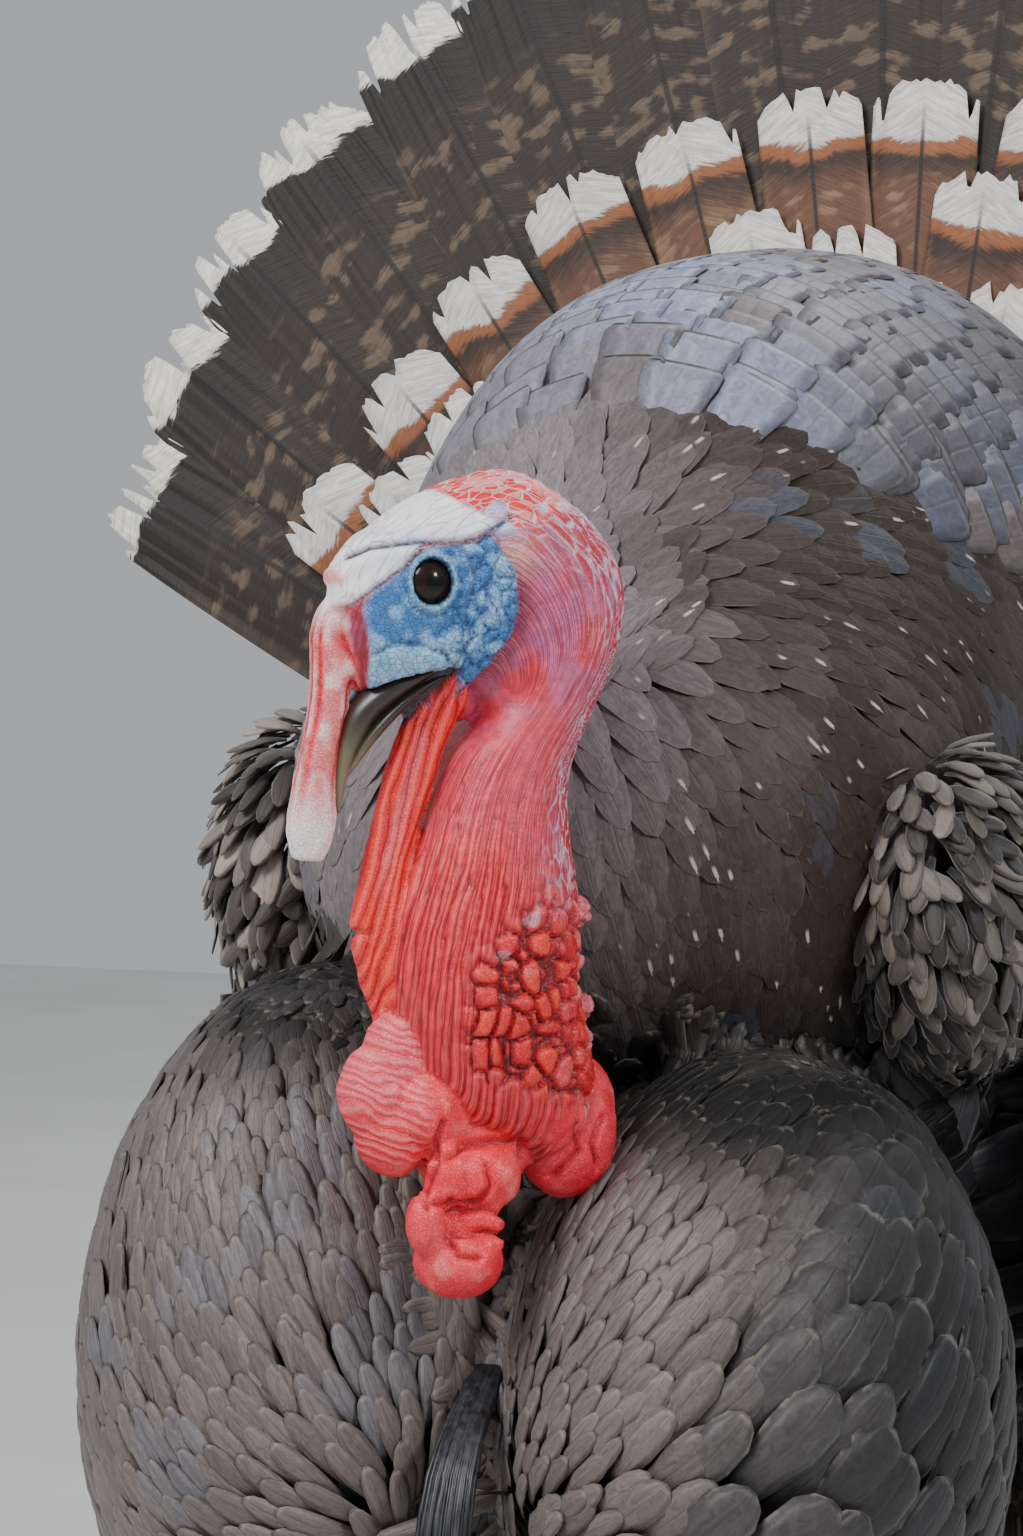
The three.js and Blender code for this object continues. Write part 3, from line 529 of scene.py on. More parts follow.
def flesh(p, normal, quads):
    """Relief, colour, shader zones and lie of the bare skin, laid out in the head's own axes."""
    f, u, l = head_place(p)
    plane = np.stack([f, u], 1)
    run, girth, turn = neck_place(p)
    run, girth = even_out(np.stack([run, np.abs(girth)], 1), quads, 30).T
    warp = 0.9 * np.stack([rumble(p / 8, 2, 31 + k) for k in range(3)], -1)
    face, blaze = patch(plane + 0.5 * warp[:, :2], FACE), patch(plane + 0.5 * warp[:, :2], BLAZE)
    bill = patch(plane, BILL_AREA)
    snood_far, snood_at = path_distance(p, [head_point(a, b, -1) for a, b in SNOOD])
    rear_far, _ = path_distance(p, [head_point(a, b, c) for (a, b), c in zip(DEWLAP_REAR, DEWLAP_LEFT)])
    front_far, _ = path_distance(p, [head_point(a, b, 0.5) for a, b in DEWLAP_FRONT])
    lobe = np.min([reach(p, head_point(a, b, c), h) for a, b, c, h in LOBES], axis=0)
    knob = np.min([np.linalg.norm(p - head_point(a, b, c), axis=1) - r for a, b, c, r in NODULES], axis=0)
    eye = np.hypot((f - EYE_AT[0]) / 4.8, (u - EYE_AT[1]) / 5.8) * 5.5
    eye = np.where(np.abs(l) > 6, eye, 30)

    # how much a point belongs to each part
    on_snood = smooth(8.5, 6.8, snood_far) * smooth(0.03, 0.17, snood_at)
    in_bill = smooth(0.5, -0.5, bill) * (1 - on_snood) * (np.abs(l) < 30)
    on_dew = (np.maximum(smooth(5.6, 4.2, rear_far), smooth(6.0, 4.6, front_far)) * (1 - on_snood)
              * smooth(-17, -21, u) * (1 - in_bill))
    on_lobe = smooth(2.2, 0.2, lobe) * (1 - on_dew)
    on_knob = smooth(2.0, 0.0, knob) * (1 - on_lobe)
    in_face = smooth(0.7, -0.7, face) * (1 - on_snood) * (1 - in_bill)
    in_blaze = smooth(0.7, -0.7, blaze) * (1 - in_face) * (1 - on_snood * smooth(0.06, 0.24, snood_at))
    bare = (1 - in_face) * (1 - in_blaze) * (1 - on_snood) * (1 - on_dew) * (1 - on_lobe) * (1 - in_bill)
    low = smooth(-64, -90, u + 6 * warp[:, 0]) * bare
    nape = smooth(1.45, 0.85, turn + 0.12 * warp[:, 1]) * bare * smooth(22, 12, f)
    crown = smooth(17.5, 21, u + 0.30 * f + warp[:, 0]) * smooth(-24, -12, f) * bare
    nodes = (smooth(2.1, 1.85, turn + 0.15 * warp[:, 2] + 0.010 * (u + 100)) * low
             * smooth(-66, -76, u + 14 * (turn - 1)) * smooth(-130, -123, u - 0.3 * f))
    throat = smooth(1.5, 1.9, turn) * bare
    side = bare * (1 - nape) * (1 - crown)
    ear = np.exp(-(((f - 3) / 6.0) ** 2 + ((u - 13) / 6.0) ** 2)) * bare * (1 - crown)

    # patterns: long cords, fibres, cells and folds
    leaning = girth + 0.38 * 14 * np.log1p(np.exp((LEAN_RUN - run) / 14))
    cord, _, _ = ropes(leaning, run, 7.0, 60, 4, 0.35)
    fibre, fibre_break, fibre_id = ropes(leaning, run, 2.1, 17, 9, 1.0)
    _, node_gap, node_id = pebbles(p * np.array([1.0, 1.0, 0.85]) / 5.4 + 0.3 * warp, 7)
    _, cheek_gap, _ = pebbles(p / 4.3 + 0.3 * warp, 11)
    wave = rumble(p / 4.5, 2, 17)
    node, cheek = smooth(0, 0.34, node_gap), smooth(0, 0.20, cheek_gap)
    rear_face = in_face * smooth(21, 14, f + 0.4 * (u - 5) * (u < 5)) * smooth(7, 9.5, eye)
    cushion = in_face * smooth(-9.5, -12.5, u - 0.04 * (f - 30) ** 2) * smooth(17, 21, f)
    brow, lore = line_distance(plane, FOLD_BROW), line_distance(plane, FOLD_LORE)
    pads, cheek_line = line_distance(plane, FOLD_CUSHION), line_distance(plane, FOLD_CHEEK)
    side_only = (np.abs(l) > 2.5) * (1 - on_snood)
    left_lobe = on_lobe * smooth(25, 30, f) * smooth(-146, -143, u)
    lobe_fold = np.min([line_distance(plane + 0.6 * warp[:, :2], fold) for fold in LOBE_FOLDS], axis=0)
    folded = smooth(1.6, 0.0, lobe_fold) * on_lobe * (l > 2)
    cords = np.clip(low + throat * smooth(-50, -75, u), 0, 1) * (1 - nodes)

    # relief, mm
    height = 0.12 * wave
    height += cords * (0.9 * cord ** 0.7 - 0.5)
    height -= (1.5 * smooth(7, 1, face) * (face > 0) * (bare - nape).clip(0) * smooth(24, 16, f)
               * smooth(-42, -30, u))
    height += nape * (1 - crown) * (1 - nodes) * (0.75 * fibre ** 0.7 * smooth(0, 0.25, fibre_break) - 0.35)
    height += nodes * (1 - 0.3 * on_knob) * (3.4 * np.sqrt(node) - 2.2) + on_knob * 0.4
    height += (in_face * 0.5 + rear_face * (1.0 * cheek - 0.7) + crown
               * (0.45 * smooth(-0.3, 0.4, rumble(p / 2.2, 1, 5))))
    height += (cushion * 1.3 - 1.0 * smooth(1.2, 0, pads) * in_face - 0.7 * smooth(1.0, 0, cheek_line)
               * in_face)
    height -= 0.9 * smooth(1.2, 0, np.abs(face)) * smooth(22, 14, f) * (1 - on_snood)
    height -= (1.3 * smooth(1.3, 0, brow) + 0.8 * smooth(1.0, 0, lore)) * side_only
    height += 1.0 * smooth(5.0, 1.8, brow) * in_blaze + 0.35 * in_blaze
    height -= in_bill * (2.6 * smooth(2.5, 5, np.abs(l)))
    bumps = np.zeros(len(p))
    for forward, up, size in BUMPS:
        bumps = np.maximum(bumps, smooth(size, size * 0.4, np.hypot(f - forward, u - up)))
    height += bumps * 1.0 * in_blaze
    snood_cord = np.abs(np.sin(1.1 * (l + 1) + 0.9 * rumble(np.stack([u / 16, l / 5, f / 9], 1), 2, 8)))
    height += on_snood * (0.6 * snood_cord - 0.3 + 0.35 * wave)
    height += on_dew * 0.3 * wave
    height += on_lobe * 0.3 * wave - 2.0 * folded
    lid = smooth(5.3, 6.0, eye) * smooth(8.0, 6.6, eye)
    height += 1.1 * lid + 0.25 * smooth(8.6, 9.2, eye) * smooth(11.5, 9.8, eye) - 3.4 * smooth(5.9, 5.1, eye)
    height -= (0.45 * smooth(0.7, 0, np.abs(eye - 8.3)) + 0.3
               * smooth(0.6, 0, np.abs(eye - 10.6 - warp[:, 0])) * in_face)

    # colours, each laid over those before it
    blot = noise(p / 7, 51)
    right_lobes = (on_lobe - left_lobe).clip(0)
    valley = (1 - smooth(0.5, 3.5, np.abs(front_far - rear_far))) * smooth(-28, -36, u)
    valley = valley * smooth(-84, -60, u) * (f > 12) * (f < 44)
    colour = np.tile(linear(188, 44, 64), (len(p), 1))
    layers = (
        ((156, 88, 134), smooth(-52, -10, u) * smooth(0.30, 0.6, blot) * 0.8),
        ((194, 58, 78), smooth(-20, -52, u) * side * 0.85),
        # painted shadow: dark purple red on the neck behind and below the cheek
        ((112, 26, 50), bare * smooth(9, 0, face) * smooth(16, 4, u) * smooth(-40, -26, u) * 0.85),
        ((206, 24, 36), cords * 0.92),
        # painted highlight: paler red on the cord crests
        ((236, 96, 96), cords * smooth(0.5, 1.0, cord) * smooth(0.4, 0.7, blot) * 0.25),
        # darker red in the cord furrows, partly the skin's colour and partly painted shade
        ((150, 12, 26), cords * smooth(0.3, 0.0, cord) * 0.6),
        ((150, 34, 54), nape * (1 - nodes) * 0.8),
        ((150, 104, 134), nape * (1 - nodes) * smooth(0.45, 0.7, fibre_id) * 0.7),
        ((206, 158, 150), ear * 0.85),
        ((208, 24, 28), crown),
        ((150, 170, 224), crown * smooth(0.62, 0.72, noise(p / 6, 57)) * smooth(30, 24, u)),
        ((190, 22, 32), nodes),
        # painted highlight: orange red on the centres of some nodules
        ((232, 62, 44), nodes * smooth(0.45, 0.9, node) * smooth(0.4, 0.8, node_id) * 0.6),
        ((232, 104, 112), nodes * smooth(0.3, 0.0, node_id) * smooth(0.5, 0.9, node) * 0.5),
        # painted shade: near black red in the gaps between nodules
        ((84, 6, 18), nodes * smooth(0.16, 0.03, node_gap) * 0.9),
        ((196, 168, 184), nodes * smooth(0.70, 0.78, noise(p / 4.5, 59)) * smooth(-100, -84, u) * 0.7),
        ((222, 120, 132), on_knob * smooth(-8, -14, f) * 0.85),
        ((224, 30, 28), on_dew),
        ((196, 96, 120), valley * smooth(9.5, 6, np.minimum(front_far, rear_far)) * 0.6),
        ((228, 34, 52), on_lobe),
        # painted highlight: paler pink over the upper part of the left lobe
        ((240, 86, 104), left_lobe * smooth(-140, -122, u) * 0.8),
        ((236, 66, 80), right_lobes * smooth(0.35, 0.7, noise(p / 8, 63)) * 0.6),
        # dark red in the lobe folds, partly the skin's colour and partly painted shade
        ((128, 10, 22), smooth(0.8, 0.0, lobe_fold) * on_lobe * (l > 2) * 0.8),
        # painted highlight: pale pink on the swellings of the right lobes away from the folds
        ((246, 160, 150), right_lobes * smooth(2.0, 4.5, lobe_fold) * smooth(0.1, 0.6, wave) * 0.3),
        ((44, 104, 162), in_face),
        ((128, 184, 220), in_face * smooth(0.4, 0.85, noise(p / 3.2, 71)) * 0.75),
        ((30, 52, 104), rear_face * smooth(0.10, 0.0, cheek_gap) * 0.9),
        # painted shade: dark purple over the lower rear of the face, by the cheek's edge
        ((70, 44, 84), in_face * smooth(-8, -16, u) * smooth(17, 10, f)
         * smooth(0.4, 0.65, noise(p / 2.4, 73)) * 0.8),
        # painted highlight: light blue on the raised cushion low on the face
        ((138, 190, 220), cushion * 0.6),
        ((240, 238, 242), in_blaze),
        ((150, 196, 226), in_blaze * smooth(46, 34, f) * smooth(7.5, 2.0, np.minimum(brow, lore)) * 0.45),
        ((214, 112, 106), np.maximum(bumps * 0.85, smooth(0.66, 0.76, noise(p / 2.2, 79)) * 0.25) * in_blaze),
        ((22, 30, 52), np.maximum(smooth(0.9, 0.1, brow), 0.8 * smooth(0.7, 0.1, lore)) * side_only),
        ((30, 40, 86), np.maximum(smooth(0.8, 0.1, pads), smooth(0.7, 0.1, cheek_line)) * in_face * 0.7),
        ((30, 36, 44), in_bill),
        ((222, 112, 116), on_snood),
        ((198, 26, 36), on_snood * smooth(0.7, 0.3, snood_cord) * smooth(0.9, 0.5, snood_at)),
        ((240, 234, 236), on_snood
         * np.maximum(smooth(0.66, 0.9, snood_at), 0.8 * smooth(0.20, 0.08, snood_at))),
        ((240, 214, 214), on_snood * smooth(0.7, 0.95, snood_cord) * smooth(0.4, 0.7, noise(p / 4, 83))
         * 0.7),
        ((104, 158, 196), smooth(7.6, 6.6, eye) * smooth(5.4, 6.0, eye)),
        ((24, 26, 36), smooth(6.1, 5.6, eye) + 0.45 * smooth(0.5, 0.1, np.abs(eye - 8.3))))
    for shade, cover in layers:
        colour = paint(colour, shade, cover)
    calm = smooth(5, 13, np.hypot(f - 8, u + 28))
    zones = np.stack([crown, nape * (1 - nodes) * (1 - crown), in_face], 1)
    marks = np.stack([in_blaze * (1 - bumps), (side + throat).clip(0, 1) * (1 - nodes) * calm,
                      (on_lobe + nodes + on_dew + on_snood).clip(0, 1)], 1)
    cording = np.stack([cords, left_lobe, on_dew], 1)
    lie = np.stack([run + 1.4 * warp[:, 0], girth + 0.8 * warp[:, 1], leaning + 0.6 * warp[:, 2]], 1) / 10
    tints = {"Flesh": colour, "Zones": np.clip(zones, 0, 1), "Marks": np.clip(marks, 0, 1),
             "Cords": np.clip(cording, 0, 1), "Lie": lie, "Axes": np.stack([f, u, l], 1) / 10}
    return p + normal * height[:, None], tints


# ------------------------------------------------------------------ feathers
FOUR = (np.array([-1.0, 0, 1, 0]), np.array([0, 0.5, 0, -0.5]))
SIX = (np.array([-1.0, -0.5, 0, 0.5, 1, 0]), np.array([0, 0.5, 0.5, 0.5, 0, -0.5]))
BODY_STATIONS = np.array([0, 0.3, 0.58, 0.8, 0.93, 1.0])


def vane_outline(v, widest=0.6, root=0.35, end=0.06):
    """Half width along a vane: eases from the root to full at `widest`, then a quarter ellipse to the tip."""
    grow = mix(root, 1, smooth(0, widest, v))
    close = np.sqrt(np.clip(1 - ((v - widest) / (1 - widest)) ** 2, 0, 1))
    return np.where(v < widest, grow, np.maximum(close, end))


def vane_mesh(name, spine, out, side, half, thick, camber, section, stations, bake, tint):
    """Closed vanes. Ring points are spine + side * u * half + out * (camber (1 - u^2) + thick * s)."""
    u, s = section
    count, steps = spine.shape[:2]
    around = len(u)
    lift = camber[:, None, None] * (1 - u**2)[None, None] * half[..., None] + thick * s[None, None]
    points = (spine[:, :, None] + side[:, :, None] * (half[..., None] * u[None, None])[..., None]
              + out[:, :, None] * lift[..., None])
    ids = np.arange(count * steps * around).reshape(count, steps, around)
    a, b = ids[:, :-1], ids[:, 1:]
    body = np.stack([a, np.roll(a, -1, 2), np.roll(b, -1, 2), b], -1).reshape(-1, 4)
    first, last = ids[:, 0], ids[:, -1]
    caps = []
    for k in range(1, around - 2, 2):
        caps.append(np.stack([first[:, k + 2], first[:, k + 1], first[:, k], first[:, 0]], -1))
        caps.append(np.stack([last[:, 0], last[:, k], last[:, k + 1], last[:, k + 2]], -1))
    uv = np.stack(np.broadcast_arrays((u + 1)[None, None] / 2, stations[None, :, None], ), -1)
    uv = np.broadcast_to(uv, (count, steps, around, 2)).reshape(-1, 2)
    spot = (bake[:, None, None]
            + (np.stack(np.broadcast_arrays((u[None] + 1) / 2, stations[:, None]), -1) - 0.5) * 0.003)
    colours = np.broadcast_to(tint[:, None, None], (count, steps, around, 3)).reshape(-1, 3)
    return mesh_from(name, points.reshape(-1, 3), [body[:, ::-1], np.concatenate(caps)[:, ::-1]],
                     {"Feather": uv, "OFBake": spot.reshape(-1, 2)}, {"Tint": colours})


def unwrap(p):
    """Place on the unwrap: turn about the upright axis and tilt from it, from the trunk's middle."""
    d = unit(p - TRUNK_MIDDLE)
    return np.stack([np.arctan2(d[..., 0], -d[..., 1]) / (2 * np.pi) + 0.5,
                     np.arccos(np.clip(d[..., 2], -1, 1)) / np.pi], -1)


def frame_of(axis):
    """Two directions square to an axis."""
    axis = unit(np.asarray(axis, float))
    other = np.array([0.0, 0, 1]) if abs(axis[2]) < 0.9 else np.array([1.0, 0, 0])
    first = unit(np.cross(other, axis))
    return axis, first, np.cross(axis, first)


def rows(form, middle, axis, exposure, breadth, level, stop=3.05, start=0.06, meridians=260, steps=260,
         comb=None, reach_mm=30.0):
    """Roots of shingled rows: rings round the axis one exposure apart, roots one breadth apart, staggered.

    Within reach_mm of the pole the lie turns from radial to the comb direction, so no bald whorl is left.
    """
    axis, first, second = frame_of(axis)
    polar = np.linspace(start, stop, steps)[:, None]
    angle = np.linspace(0, 2 * np.pi, meridians, endpoint=False)[None]
    ways = (np.cos(polar)[..., None] * axis + (np.sin(polar) * np.cos(angle))[..., None] * first
            + (np.sin(polar) * np.sin(angle))[..., None] * second)
    surface = middle + ways * radial(form, middle, ways, level)[..., None]
    run = np.linalg.norm(np.diff(surface, axis=0), axis=2) / exposure((surface[1:] + surface[:-1]) / 2)
    count = np.vstack([np.zeros(meridians), np.cumsum(run, axis=0)])
    roots, alongs = [], []
    for k in range(int(count[-1].max())):
        level_k = k + 0.5
        at = np.clip((count < level_k).sum(0), 1, steps - 1)
        cols = np.arange(meridians)
        part = np.clip((level_k - count[at - 1, cols])
                       / np.maximum(count[at, cols] - count[at - 1, cols], 1e-6), 0, 1)
        valid = count[-1] > level_k
        ring = mix(surface[at - 1, cols], surface[at, cols], part[:, None])
        ahead = surface[np.minimum(at + 2, steps - 1), cols] - surface[np.maximum(at - 2, 0), cols]
        gap = np.linalg.norm(np.roll(ring, -1, 0) - ring, axis=1) / breadth(ring)
        total = np.concatenate([[0], np.cumsum(gap)])
        number = max(3, int(round(total[-1])))
        want = ((np.arange(number) + 0.5 * (k % 2) + RNG.uniform(-0.14, 0.14, number)) * total[-1]
                / number % total[-1])
        loc = np.interp(want, total, np.arange(meridians + 1))
        i = np.floor(loc).astype(int) % meridians
        j = (i + 1) % meridians
        w = (loc % 1)[:, None]
        good = valid[i] & valid[j]
        roots.append(mix(ring[i], ring[j], w)[good])
        alongs.append(mix(ahead[i], ahead[j], w)[good])
    roots, alongs = np.concatenate(roots), unit(np.concatenate(alongs))
    if comb is not None:
        pole = middle + axis * radial(form, middle, axis[None], level)[0]
        share = smooth(0.25 * reach_mm, reach_mm, np.linalg.norm(roots - pole, axis=1))[:, None]
        alongs = unit(mix(unit(np.array(comb, float)), alongs, share))
    return roots, alongs


def coat(name, form, tract, size, tint, material, slot, nodes=(), depth=COAT, rise=0.6, section=FOUR,
         camber=0.16, sway=0.07, widest=0.6, end=0.06, thick=0.5, ragged=0.0, flush=2.2, vary=0.09,
         uneven=0.3, flat=False):
    """Lays a vane at each root, bent over the form: lift = -depth + (depth + rise) (1 - (1 - v)^flush)."""
    root, along = tract
    n = len(root)
    length, width = size(root)
    length = length * RNG.normal(1, 0.07, n)
    width = width * RNG.normal(1, 0.06, n)
    rise = np.broadcast_to(rise(root) if callable(rise) else rise, (n,))[:, None]
    _, slope = slope_of(form, root)
    normal = unit(slope)
    along = unit(along - normal * np.sum(along * normal, -1, keepdims=True))
    side = np.cross(along, normal)
    along = unit(along + side * RNG.normal(0, sway, n)[:, None])
    v = BODY_STATIONS
    spine = root[:, None] + along[:, None] * (length[:, None] * v)[..., None]
    lift = (-depth + (depth + rise) * (1 - (1 - v)**flush) + RNG.normal(0, uneven, n)[:, None] * v + ragged
            * RNG.random(n)[:, None] * v**3)
    spine, out = settle(form, spine, lift, 3)
    ahead = unit(np.gradient(spine, axis=1))
    out = unit(out - ahead * np.sum(out * ahead, -1, keepdims=True))
    across = np.cross(ahead, out)
    half = width[:, None] / 2 * vane_outline(v, widest, end=end)
    colour = tint(root) * RNG.normal(1, vary, n)[:, None]
    mesh = vane_mesh(name, spine, out, across, half, thick, np.full(n, camber), section, v, unwrap(root),
                     np.clip(colour, 0, 1))
    if flat:
        mesh.polygons.foreach_set("use_smooth", np.zeros(len(mesh.polygons), bool))
    return piece(name, mesh, material, nodes)


def broad_vanes(name, spine_at, length, half, material, nodes=(), across=25, along=26, thick=0.7,
                camber=2.0, corner=(11.0, 3.0), fray=1.6, splits=3, tint=None, swing=0.0, shaft=0.9):
    """Large vanes as closed sheets: a grid across (u) and along (v) each shaft.

    A point is spine(t) + side * u * half(v) + out * (camber (1 - u^2) + shaft ridge). t runs to a tip that
    is rounded by corner[0] u^4 + corner[1] u^2, roughened by noise and notched where barbs part.
    """
    count = len(length)
    u = np.sin(np.linspace(-1, 1, across) * np.pi / 2) * 0.35 + np.linspace(-1, 1, across) * 0.65
    v = np.linspace(0, 1, along) ** 0.8
    lengths = np.asarray(length, float)[:, None, None]
    key = np.arange(count)[:, None, None] * 7.3
    grid = np.stack(np.broadcast_arrays(key + 0 * u[None, :, None], u[None, :, None] * 9 + key, key), -1)
    rough = ((noise(grid * [1, 1.6, 1], 101) - 0.5) * 2 * fray + (noise(grid * [1, 5.0, 1], 103) - 0.5) * 1.6
             * fray)
    notch = np.zeros((count, across, 1))
    for k in range(splits):
        at = (RNG.random(count)[:, None, None] * 2 - 1) * 0.9
        notch += (RNG.uniform(0.2, 1.0, count)[:, None, None] * 9
                  * smooth(0.1, 0.0, np.abs(u[None, :, None] - at)) * fray)
    end = (1 - (corner[0] * u[None, :, None] ** 4 + corner[1] * u[None, :, None] ** 2 + rough + notch)
           / lengths)
    t = v[None, None] * (end + 0 * v[None, None])
    spine, side, out = spine_at(t)
    width = half(v)[None, None] * np.ones((count, 1, 1))
    lean = swing * u[None, :, None] * v[None, None] ** 2
    lift = camber * (1 - u[None, :, None] ** 2) + lean + 0.35 * rough * v[None, None] ** 6
    ridge = shaft * np.clip(1 - np.abs(u)[None, :, None] * width / 1.5, 0, 1) * (1 - 0.8 * v[None, None])
    face = spine + side * (u[None, :, None] * width)[..., None]
    front = face + out * (lift + ridge + thick / 2)[..., None]
    rear = face + out * (lift - 0.5 * ridge - thick / 2)[..., None]
    rings = np.concatenate([front, rear[:, ::-1]], 1).transpose(0, 2, 1, 3)
    around = 2 * across
    ids = np.arange(count * along * around).reshape(count, along, around)
    a, b = ids[:, :-1], ids[:, 1:]
    body = np.stack([a, np.roll(a, -1, 2), np.roll(b, -1, 2), b], -1).reshape(-1, 4)
    k = np.arange(across - 1)
    low = np.stack([ids[:, 0][:, k + 1], ids[:, 0][:, k], ids[:, 0][:, around - 1 - k],
                    ids[:, 0][:, around - 2 - k]], -1)
    top = np.stack([ids[:, -1][:, k], ids[:, -1][:, k + 1], ids[:, -1][:, around - 2 - k],
                    ids[:, -1][:, around - 1 - k]], -1)
    flip = np.sum(np.cross(side, spine_at(np.minimum(t + 0.01, 1.1))[0] - spine) * out) > 0
    faces = np.concatenate([body, low.reshape(-1, 4), top.reshape(-1, 4)])
    faces = faces if flip else faces[:, ::-1]
    from_tip = (1 - t) * lengths / 100
    uv = np.stack(np.broadcast_arrays((u[None, :, None] + 1) / 2, from_tip), -1)
    uv = np.concatenate([uv, uv[:, ::-1]], 1).transpose(0, 2, 1, 3).reshape(-1, 2)
    root = spine[:, across // 2, 0]
    bake = unwrap(root)[:, None,
                        None] + (np.stack(np.broadcast_arrays(np.concatenate([u, u[::-1]])[None] / 2,
                                                              v[:, None] - 0.5), -1) * 0.003)[None]
    shade = (np.ones((count, 3)) if tint is None else tint) * RNG.normal(1, 0.07, count)[:, None]
    colour = np.broadcast_to(np.clip(shade, 0, 1)[:, None, None], (count, along, around, 3)).reshape(-1, 3)
    mesh = mesh_from(name, rings.reshape(-1, 3), [faces], {"Feather": uv, "OFBake": bake.reshape(-1, 2)},
                     {"Tint": colour})
    return piece(name, mesh, material, nodes)


def fan_point(distance, angle, back):
    """Point of the fan: distance from where the shafts meet, angle from upright, set back square to it."""
    cup = -0.06 * distance * np.sin(angle) ** 2
    up = distance * np.cos(angle)
    return np.stack([TAIL_AT[0] + distance * np.sin(angle), TAIL_AT[1] + up * np.sin(TAIL_LEAN)
                     + (back + cup) * np.cos(TAIL_LEAN), TAIL_AT[2] + up * np.cos(TAIL_LEAN) - (back + cup)
                     * np.sin(TAIL_LEAN)], -1)


def fan_row(angles, start, length, back):
    """Spines of one row of fan feathers: t from 0 to 1 runs out from start by length at its own angle."""
    angles, length, back = (np.broadcast_to(np.asarray(x, float), (len(angles),))[:, None, None]
                            for x in (angles, length, back))

    def spine_at(t):
        points = fan_point(start + length * t, angles + 0 * t, back + 0 * t)
        side = unit(fan_point(start + length * t, angles + 0.01 + 0 * t, back + 0 * t) - points)
        ahead = unit(fan_point(start + length * t + 1, angles + 0 * t, back + 0 * t) - points)
        return points, side, unit(np.cross(side, ahead))

    return spine_at


def wing_outline(front, along):
    """Drooped left wing seen from its side: (y, z) for 0 front to 1 rear, 0 root to 1 tip."""
    root_y = mix(WRIST[1], 70, front)
    root_z = mix(WRIST[2] - 20, 452, np.sin(front * np.pi / 2))
    tip_y = mix(-38, 236, np.clip(front, 0, 1) ** 0.95)
    tip_z = mix(WING_TIP_CLEAR + 2, 306, np.clip((front - 0.12) / 0.88, 0, 1) ** 1.3)
    bow = np.sin(along * np.pi) * mix(-26, 10, front)
    return mix(root_y, tip_y, along) + bow, mix(root_z, tip_z, along)


def wing_point(front, along, lift, flip=1):
    """Point of a wing: hugs the flank above, hangs straight below it, moved out by lift; flip mirrors it."""
    y, z = wing_outline(front, along)
    level = np.maximum(z, 300)
    near, far = np.full(y.shape, 30.0), np.full(y.shape, 300.0)
    for _ in range(18):
        half = (near + far) / 2
        out = trunk_form(np.stack([half, y, level], -1)) > 0
        far = np.where(out, half, far)
        near = np.where(out, near, half)
    x = np.maximum(near, 112) + 7.5 + 14 * smooth(0, 300, 300 - z) + lift
    return np.stack([flip * x, y, z], -1)


def wing_row(fronts, start, end, lift, flip):
    """Spines of one row of wing feathers: t from 0 to 1 runs along the wing at its place front to rear."""
    fronts, start, end, lift = (np.broadcast_to(np.asarray(x, float), (len(fronts),))[:, None, None]
                                for x in (fronts, start, end, lift))

    def spine_at(t):
        front, along = fronts + 0 * t, mix(start, end, t)
        points = wing_point(front, along, lift + 0 * t, flip)
        side = unit(wing_point(front + 0.01, along, lift + 0 * t, flip) - points)
        ahead = unit(wing_point(front, along + 0.01, lift + 0 * t, flip) - points)
        side = unit(side - ahead * np.sum(side * ahead, -1, keepdims=True))
        out = unit(np.cross(side, ahead))
        return points, side, out * np.sign(out[..., :1] * flip)

    return spine_at


def row_lengths(spine_at, count):
    """Length of each spine of a row, mm."""
    t = np.linspace(0, 1, 12)[None, None] * np.ones((count, 1, 1))
    points = spine_at(t)[0][:, 0]
    return np.linalg.norm(np.diff(points, axis=1), axis=2).sum(1)


# ------------------------------------------------------------------ finishes
def finish(name):
    """New material and a short way to add nodes: add(kind, inputs, settings) links sockets or sets values."""
    material = bpy.data.materials.new(name)
    material.use_nodes = True
    tree = material.node_tree
    tree.nodes.clear()

    def add(kind, inputs=None, **settings):
        node = tree.nodes.new("ShaderNode" + kind)
        for key, value in settings.items():
            setattr(node, key, value)
        for key, value in (inputs or {}).items():
            if isinstance(value, bpy.types.NodeSocket):
                tree.links.new(value, node.inputs[key])
            else:
                node.inputs[key].default_value = value
        return node

    return material, add


def math(add, operation, a, b=0.0, clamp=False):
    """One Math node's output."""
    return add("Math", {0: a, 1: b}, operation=operation, use_clamp=clamp).outputs[0]


def times(add, *values):
    """Product of sockets and numbers."""
    product = values[0]
    for value in values[1:]:
        product = math(add, "MULTIPLY", product, value)
    return product


def plus(add, *values):
    """Sum of sockets and numbers."""
    total = values[0]
    for value in values[1:]:
        total = math(add, "ADD", total, value)
    return total


def minus(add, first, second):
    """Difference of two sockets or numbers."""
    return math(add, "SUBTRACT", first, second)


def grains(add, vector, scale, detail, **more):
    """Noise from 0 to 1."""
    return add("TexNoise", {"Vector": vector, "Scale": scale, "Detail": detail, **more}).outputs["Fac"]


def grey(add, tone):
    """A colour with one tone in all three parts."""
    return add("CombineColor", {0: tone, 1: tone, 2: tone}).outputs[0]


def place_of(add, x, y, z):
    """A place put together from three values."""
    return add("CombineXYZ", {0: x, 1: y, 2: z}).outputs[0]


def painted(add, name):
    """The three parts of a painted attribute."""
    return add("SeparateColor", {0: add("Attribute", attribute_name=name).outputs["Color"]}).outputs[:3]


def covered(material, add, settings):
    """Closes a material with one surface shader."""
    add("OutputMaterial", {0: add("BsdfPrincipled", settings).outputs[0]})
    return material


